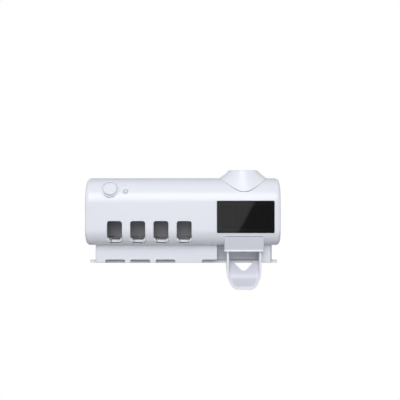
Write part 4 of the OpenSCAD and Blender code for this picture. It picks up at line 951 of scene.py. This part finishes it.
def diaphragm():
    """A cup along Y whose wall has shallow rings, with its open end at the back."""
    front, floor = BELLOWS_FRONT, BELLOWS_FRONT + BELLOWS_FLOOR
    y = np.linspace(floor, BELLOWS_BACK, 40)
    wave = WAVE_DEPTH * np.cos(2 * np.pi * (y - front) / WAVE_PITCH)
    outer = np.stack([BELLOWS_R + wave, y], axis=-1)
    inner = np.stack([BELLOWS_R - BELLOWS_WALL + wave, y], axis=-1)[::-1]
    profile = chain((0, front), (10.6, front), arc((10.8, floor), BELLOWS_FLOOR, 270, 350, 5), outer,
                    inner, [(10.6, floor), (0, floor)])
    return lathe(profile, np.array([PUMP_X, 0.0, PUMP_Z]), ALONG_Y, ALONG_X, 72)


def shorten(obj):
    """The piece gets a mesh of its own, which no other object shares."""
    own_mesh(obj)


bellows = piece("diaphragm_bellows", diaphragm(), silicone, "housing",
                replaces=["pump_diaphragm"])
shorten(bellows)

tip = chain((0, -30.4), (2.4, -30.4), (2.4, -26.4), (4.8, -26.4), (4.8, -30.0), (6.2, -30.0),
            arc((5.9, -30.8), 0.5, 60, -60, 5), (5.9, -31.6), (4.3, -31.6), (4.1, -32.2),
            arc((2.9, -33.3), 1.2, 20, -80, 7), [(1.0, -34.3), (0, -34.1)])
piece("nozzle_tip", lathe(tip, DOWN_AXIS, ALONG_Z, ALONG_X, 64), silicone, "housing",
      replaces=["outlet_nozzle"])

# %% [markdown]
# ## The return spring
#
# The spring is a helix of 0.8 mm wire with its end turns closed. Its centre line is a circle in X
# and Z whose depth grows with the turn, more slowly at both ends.

# %% Spring
COILS, COIL_R, COIL_WIRE_R, END_SHARE, END_IN = 4, 5.2, 0.4, 0.06, 0.7
SPRING_FRONT, SPRING_BACK, SPRING_LENGTH = -44.811, -36.4, 8.41


def spring_path():
    """Depth against turn: flat ends and even coils between, from a smooth step."""
    turn = np.linspace(0, COILS, COILS * 36 + 1)
    front, back = SPRING_FRONT + END_IN, SPRING_BACK - END_IN
    share = turn / COILS
    y = front + (back - front) * (share - END_SHARE * np.sin(2 * np.pi * share))
    a = 2 * np.pi * turn
    return np.stack([PUMP_X + COIL_R * np.cos(a), y, PUMP_Z + COIL_R * np.sin(a)], axis=-1)


spring = piece("spring_wire", tube(spring_path(), COIL_WIRE_R, 10, up=(0.0, 1.0, 0.02)), steel, "housing",
               replaces=["return_spring"])
shorten(spring)

# %% [markdown]
# ## The battery and the leads
#
# The battery is a steel can in a blue sleeve that is shrunk over its shoulders. The leads are
# insulated wires whose bends are rounded. Each follows a quadratic curve through the corners of
# its route, so it leaves its piece straight and turns softly.

# %% Battery
CELL = np.array([-45.5, -39.545, 39.447])
CELL_R, CELL_ROUND, NECK_IN, CELL_TIP_R = 9.2, 0.9, 0.35, 2.8
low_end = chain((0, 0.35), (6.4, 0.35), (6.6, 0.05), (8.3, 0.0),
                arc((CELL_R - CELL_ROUND, CELL_ROUND), CELL_ROUND, 270, 360, 6))
crimp = [(CELL_R, 61.6), (CELL_R, 62.0), (CELL_R - NECK_IN, 62.4), (CELL_R - NECK_IN, 62.9), (CELL_R, 63.3)]
high_end = chain(arc((CELL_R - CELL_ROUND, 64.1), CELL_ROUND, 0, 90, 6), [(6.6, 64.95), (6.4, 64.5)],
                 [(CELL_TIP_R, 64.5), (CELL_TIP_R, 66.3), (CELL_TIP_R - 0.3, 66.5), (0, 66.5)])
sleeve = lathe(chain(low_end, crimp, high_end), CELL, ALONG_X, ALONG_Y, 72)
piece("battery_cell", sleeve, sleeve_blue, "cover", replaces=["battery"])

# %% Leads
LEAD_R, BOARD_BACK = 0.8, 16.42


def board_back(across, up, behind=0.0):
    """A place on the back of the tilted control board, or a distance behind it."""
    return BUTTON + across * ACROSS + up * UP - (BOARD_BACK + behind) * OUT


def lead_path(corners, bend=5.0):
    """Straight runs with a quadratic curve at each corner, which starts and ends `bend` before it."""
    corners = np.asarray(corners, float)
    t = np.linspace(0, 1, 12)[:, None]
    runs = [corners[:1]]
    for before, corner, after in zip(corners[:-2], corners[1:-1], corners[2:]):
        reach_in = min(bend, np.linalg.norm(before - corner) / 2)
        reach_out = min(bend, np.linalg.norm(after - corner) / 2)
        start = corner + (before - corner) / np.linalg.norm(before - corner) * reach_in
        end = corner + (after - corner) / np.linalg.norm(after - corner) * reach_out
        runs.append(curve(start, corner, end, t))
    runs.append(corners[-1:])
    return np.concatenate(runs)


GLASS_BACK, SHEET_T, LEAD_OFF = -54.8, 1.6, 0.82
SOLAR_Y = GLASS_BACK + SHEET_T + LEAD_OFF
RED, BLACK = (red_lead, "red_lead"), (black_lead, "black_lead")
LEADS = {
    "solar_wire": ("solar_lead", RED, [
        (47.5, SOLAR_Y, 20), (-52, SOLAR_Y, 20), board_back(35.7, -11, 4), board_back(16, -10)]),
    "battery_wire": ("battery_lead", BLACK, [(-52.12, CELL[1] + 4, CELL[2] - 3.5), board_back(22, 2)]),
    "lamp_wire": ("uv_lead", BLACK, [(-90, -26.82, 53.2), board_back(-2.3, 16.2), board_back(-2, 8)]),
    "socket_wire": ("charge_lead", BLACK, [(-102, -30, 24.42), board_back(-14, -8)]),
}
for name, (node, (material, slot_name), corners) in LEADS.items():
    piece(name, tube(lead_path(corners), LEAD_R), material, "cover", replaces=[node])

# %% [markdown]
# ## The studio
#
# The photograph is a cut-out on pure white. The world shows white to the camera and to mirrors,
# and lights the object more gently. A pale floor lies well below, whose edge fades into the white.
# A large soft lamp stands above the camera, so faces look about as their colour is written and the
# cover's lower rounding falls into shade. A weak lamp beside the camera reaches into the notches and
# the bay behind the lever.

# %% World
WHITE_LEVEL, GLOSS_BEHIND, FILL_TOP, FILL_LOW = 1.0, 0.45, 0.40, 0.02


def world_light():
    """White for camera and transmission rays, and for mirrors in front of the wall. Mirrors see a dimmer
    level behind it, so the cover's top edge stands out. Diffuse rays see a level that falls downwards."""
    f = Finish("studio", bpy.data.worlds.new("studio"))
    _, depth, height = f.axes(f.node("TexCoord", output=0))
    behind = f.node("MapRange", {"interpolation_type": "SMOOTHSTEP"},
                    {0: depth, 1: 0.0, 2: 0.5, 3: 1.0, 4: GLOSS_BEHIND})
    seen = f.ray("Camera") + f.ray("Transmission") + f.ray("Glossy") * behind
    fill = FILL_LOW + (FILL_TOP - FILL_LOW) * (height * 0.5 + 0.5)
    level = f.node("Math", {"operation": "MAXIMUM"}, {0: seen * WHITE_LEVEL, 1: fill})
    return f.shown(f.node("Background", inputs={"Color": WHITE, "Strength": level}), "World")


bpy.context.scene.world = world_light()

# %% Floor
FLOOR_Z, FLOOR_R, PALE_R, WHITE_R = -0.30, 1.4, 0.10, 0.27


def floor_disc():
    """Rings of a flat disc about the object."""
    radius = np.linspace(0, FLOOR_R, 20)[:, None]
    turn = full_turn(72)[None]
    points = np.stack([radius * np.cos(turn), radius * np.sin(turn), FLOOR_Z + 0 * radius * turn], axis=-1)
    return surface(points, close_columns=True)


def floor_finish():
    """Pale and matt under the object, white to the camera towards the rim."""
    f = Finish("pale floor")
    x, y, _ = f.axes(f.place())
    far = f.node("MapRange", {"interpolation_type": "SMOOTHSTEP"},
                 {0: x * x + y * y, 1: PALE_R**2, 2: WHITE_R**2, 3: 0.0, 4: 1.0})
    matt = f.node("BsdfDiffuse", inputs={"Color": f.mix(far, shade(WHITE, 0.8), shade(WHITE, 0.2))})
    white = f.node("Emission", inputs={"Color": WHITE, "Strength": 1.0})
    return f.shown(f.node("MixShader", inputs={0: far * f.ray("Camera"), 1: matt, 2: white}))


floor_mesh = bpy.data.meshes.new("floor")
floor_points, floor_quads = floor_disc()
floor_mesh.from_pydata(floor_points, [], floor_quads)
floor = new_object("floor", floor_mesh)
paint(floor, floor_finish())

# %% Card
CARD_LEVEL = 0.26


def dark_card():
    """A dark card beside the camera that only mirrors see. Its slanted edge crosses the panel's glass."""
    corners = np.array([(153.7, 29), (201, 29), (201, -50), (111, -50)]) * MM
    points = np.stack([corners[:, 0], np.full(4, FACE_Y - VIEW_DISTANCE), corners[:, 1]], axis=-1)
    mesh = bpy.data.meshes.new("card")
    mesh.from_pydata(points, [], [(0, 1, 2, 3)])
    card = new_object("card", mesh)
    f = Finish("grey card")
    paint(card, f.shown(f.node("Emission", inputs={"Color": WHITE, "Strength": CARD_LEVEL})))
    for ray in ("camera", "diffuse", "shadow", "transmission", "volume_scatter"):
        setattr(card, "visible_" + ray, False)


dark_card()

# %% Lamps
def soft_lamp(name, place, target, size, power, mirrored=True):
    """A square lamp that looks at a target, and that mirrors may see."""
    data = bpy.data.lights.new(name, "AREA")
    data.shape, data.size, data.energy = "SQUARE", size, power
    lamp = new_object(name, data)
    lamp.location = place
    lamp.visible_glossy = mirrored
    step = np.asarray(target, float) - np.asarray(place, float)
    tilt = math.acos(-step[2] / np.linalg.norm(step))
    lamp.rotation_euler = (tilt, 0, math.atan2(step[1], step[0]) - math.pi / 2)


soft_lamp("key", (-0.06, -1.35, 0.66), (0.0, -0.05, 0.03), 0.95, 13.7)
soft_lamp("front", (0.0, -1.4, -0.02), (0.02, -0.03, -0.05), 0.4, 2.3, mirrored=False)
soft_lamp("top", (-0.5, -0.35, 1.2), (0.0, -0.04, 0.0), 0.8, 0.3)
soft_lamp("back", (0.1, 1.3, 0.3), (0.0, -0.02, 0.0), 0.9, 9.0, mirrored=False)
soft_lamp("left", (-1.3, -0.30, 0.15), (-0.1, -0.03, 0.0), 0.6, 3.0)
soft_lamp("right", (1.3, -0.30, 0.15), (0.1, -0.03, 0.0), 0.6, 3.0)
bpy.context.scene.view_settings.view_transform = "Standard"
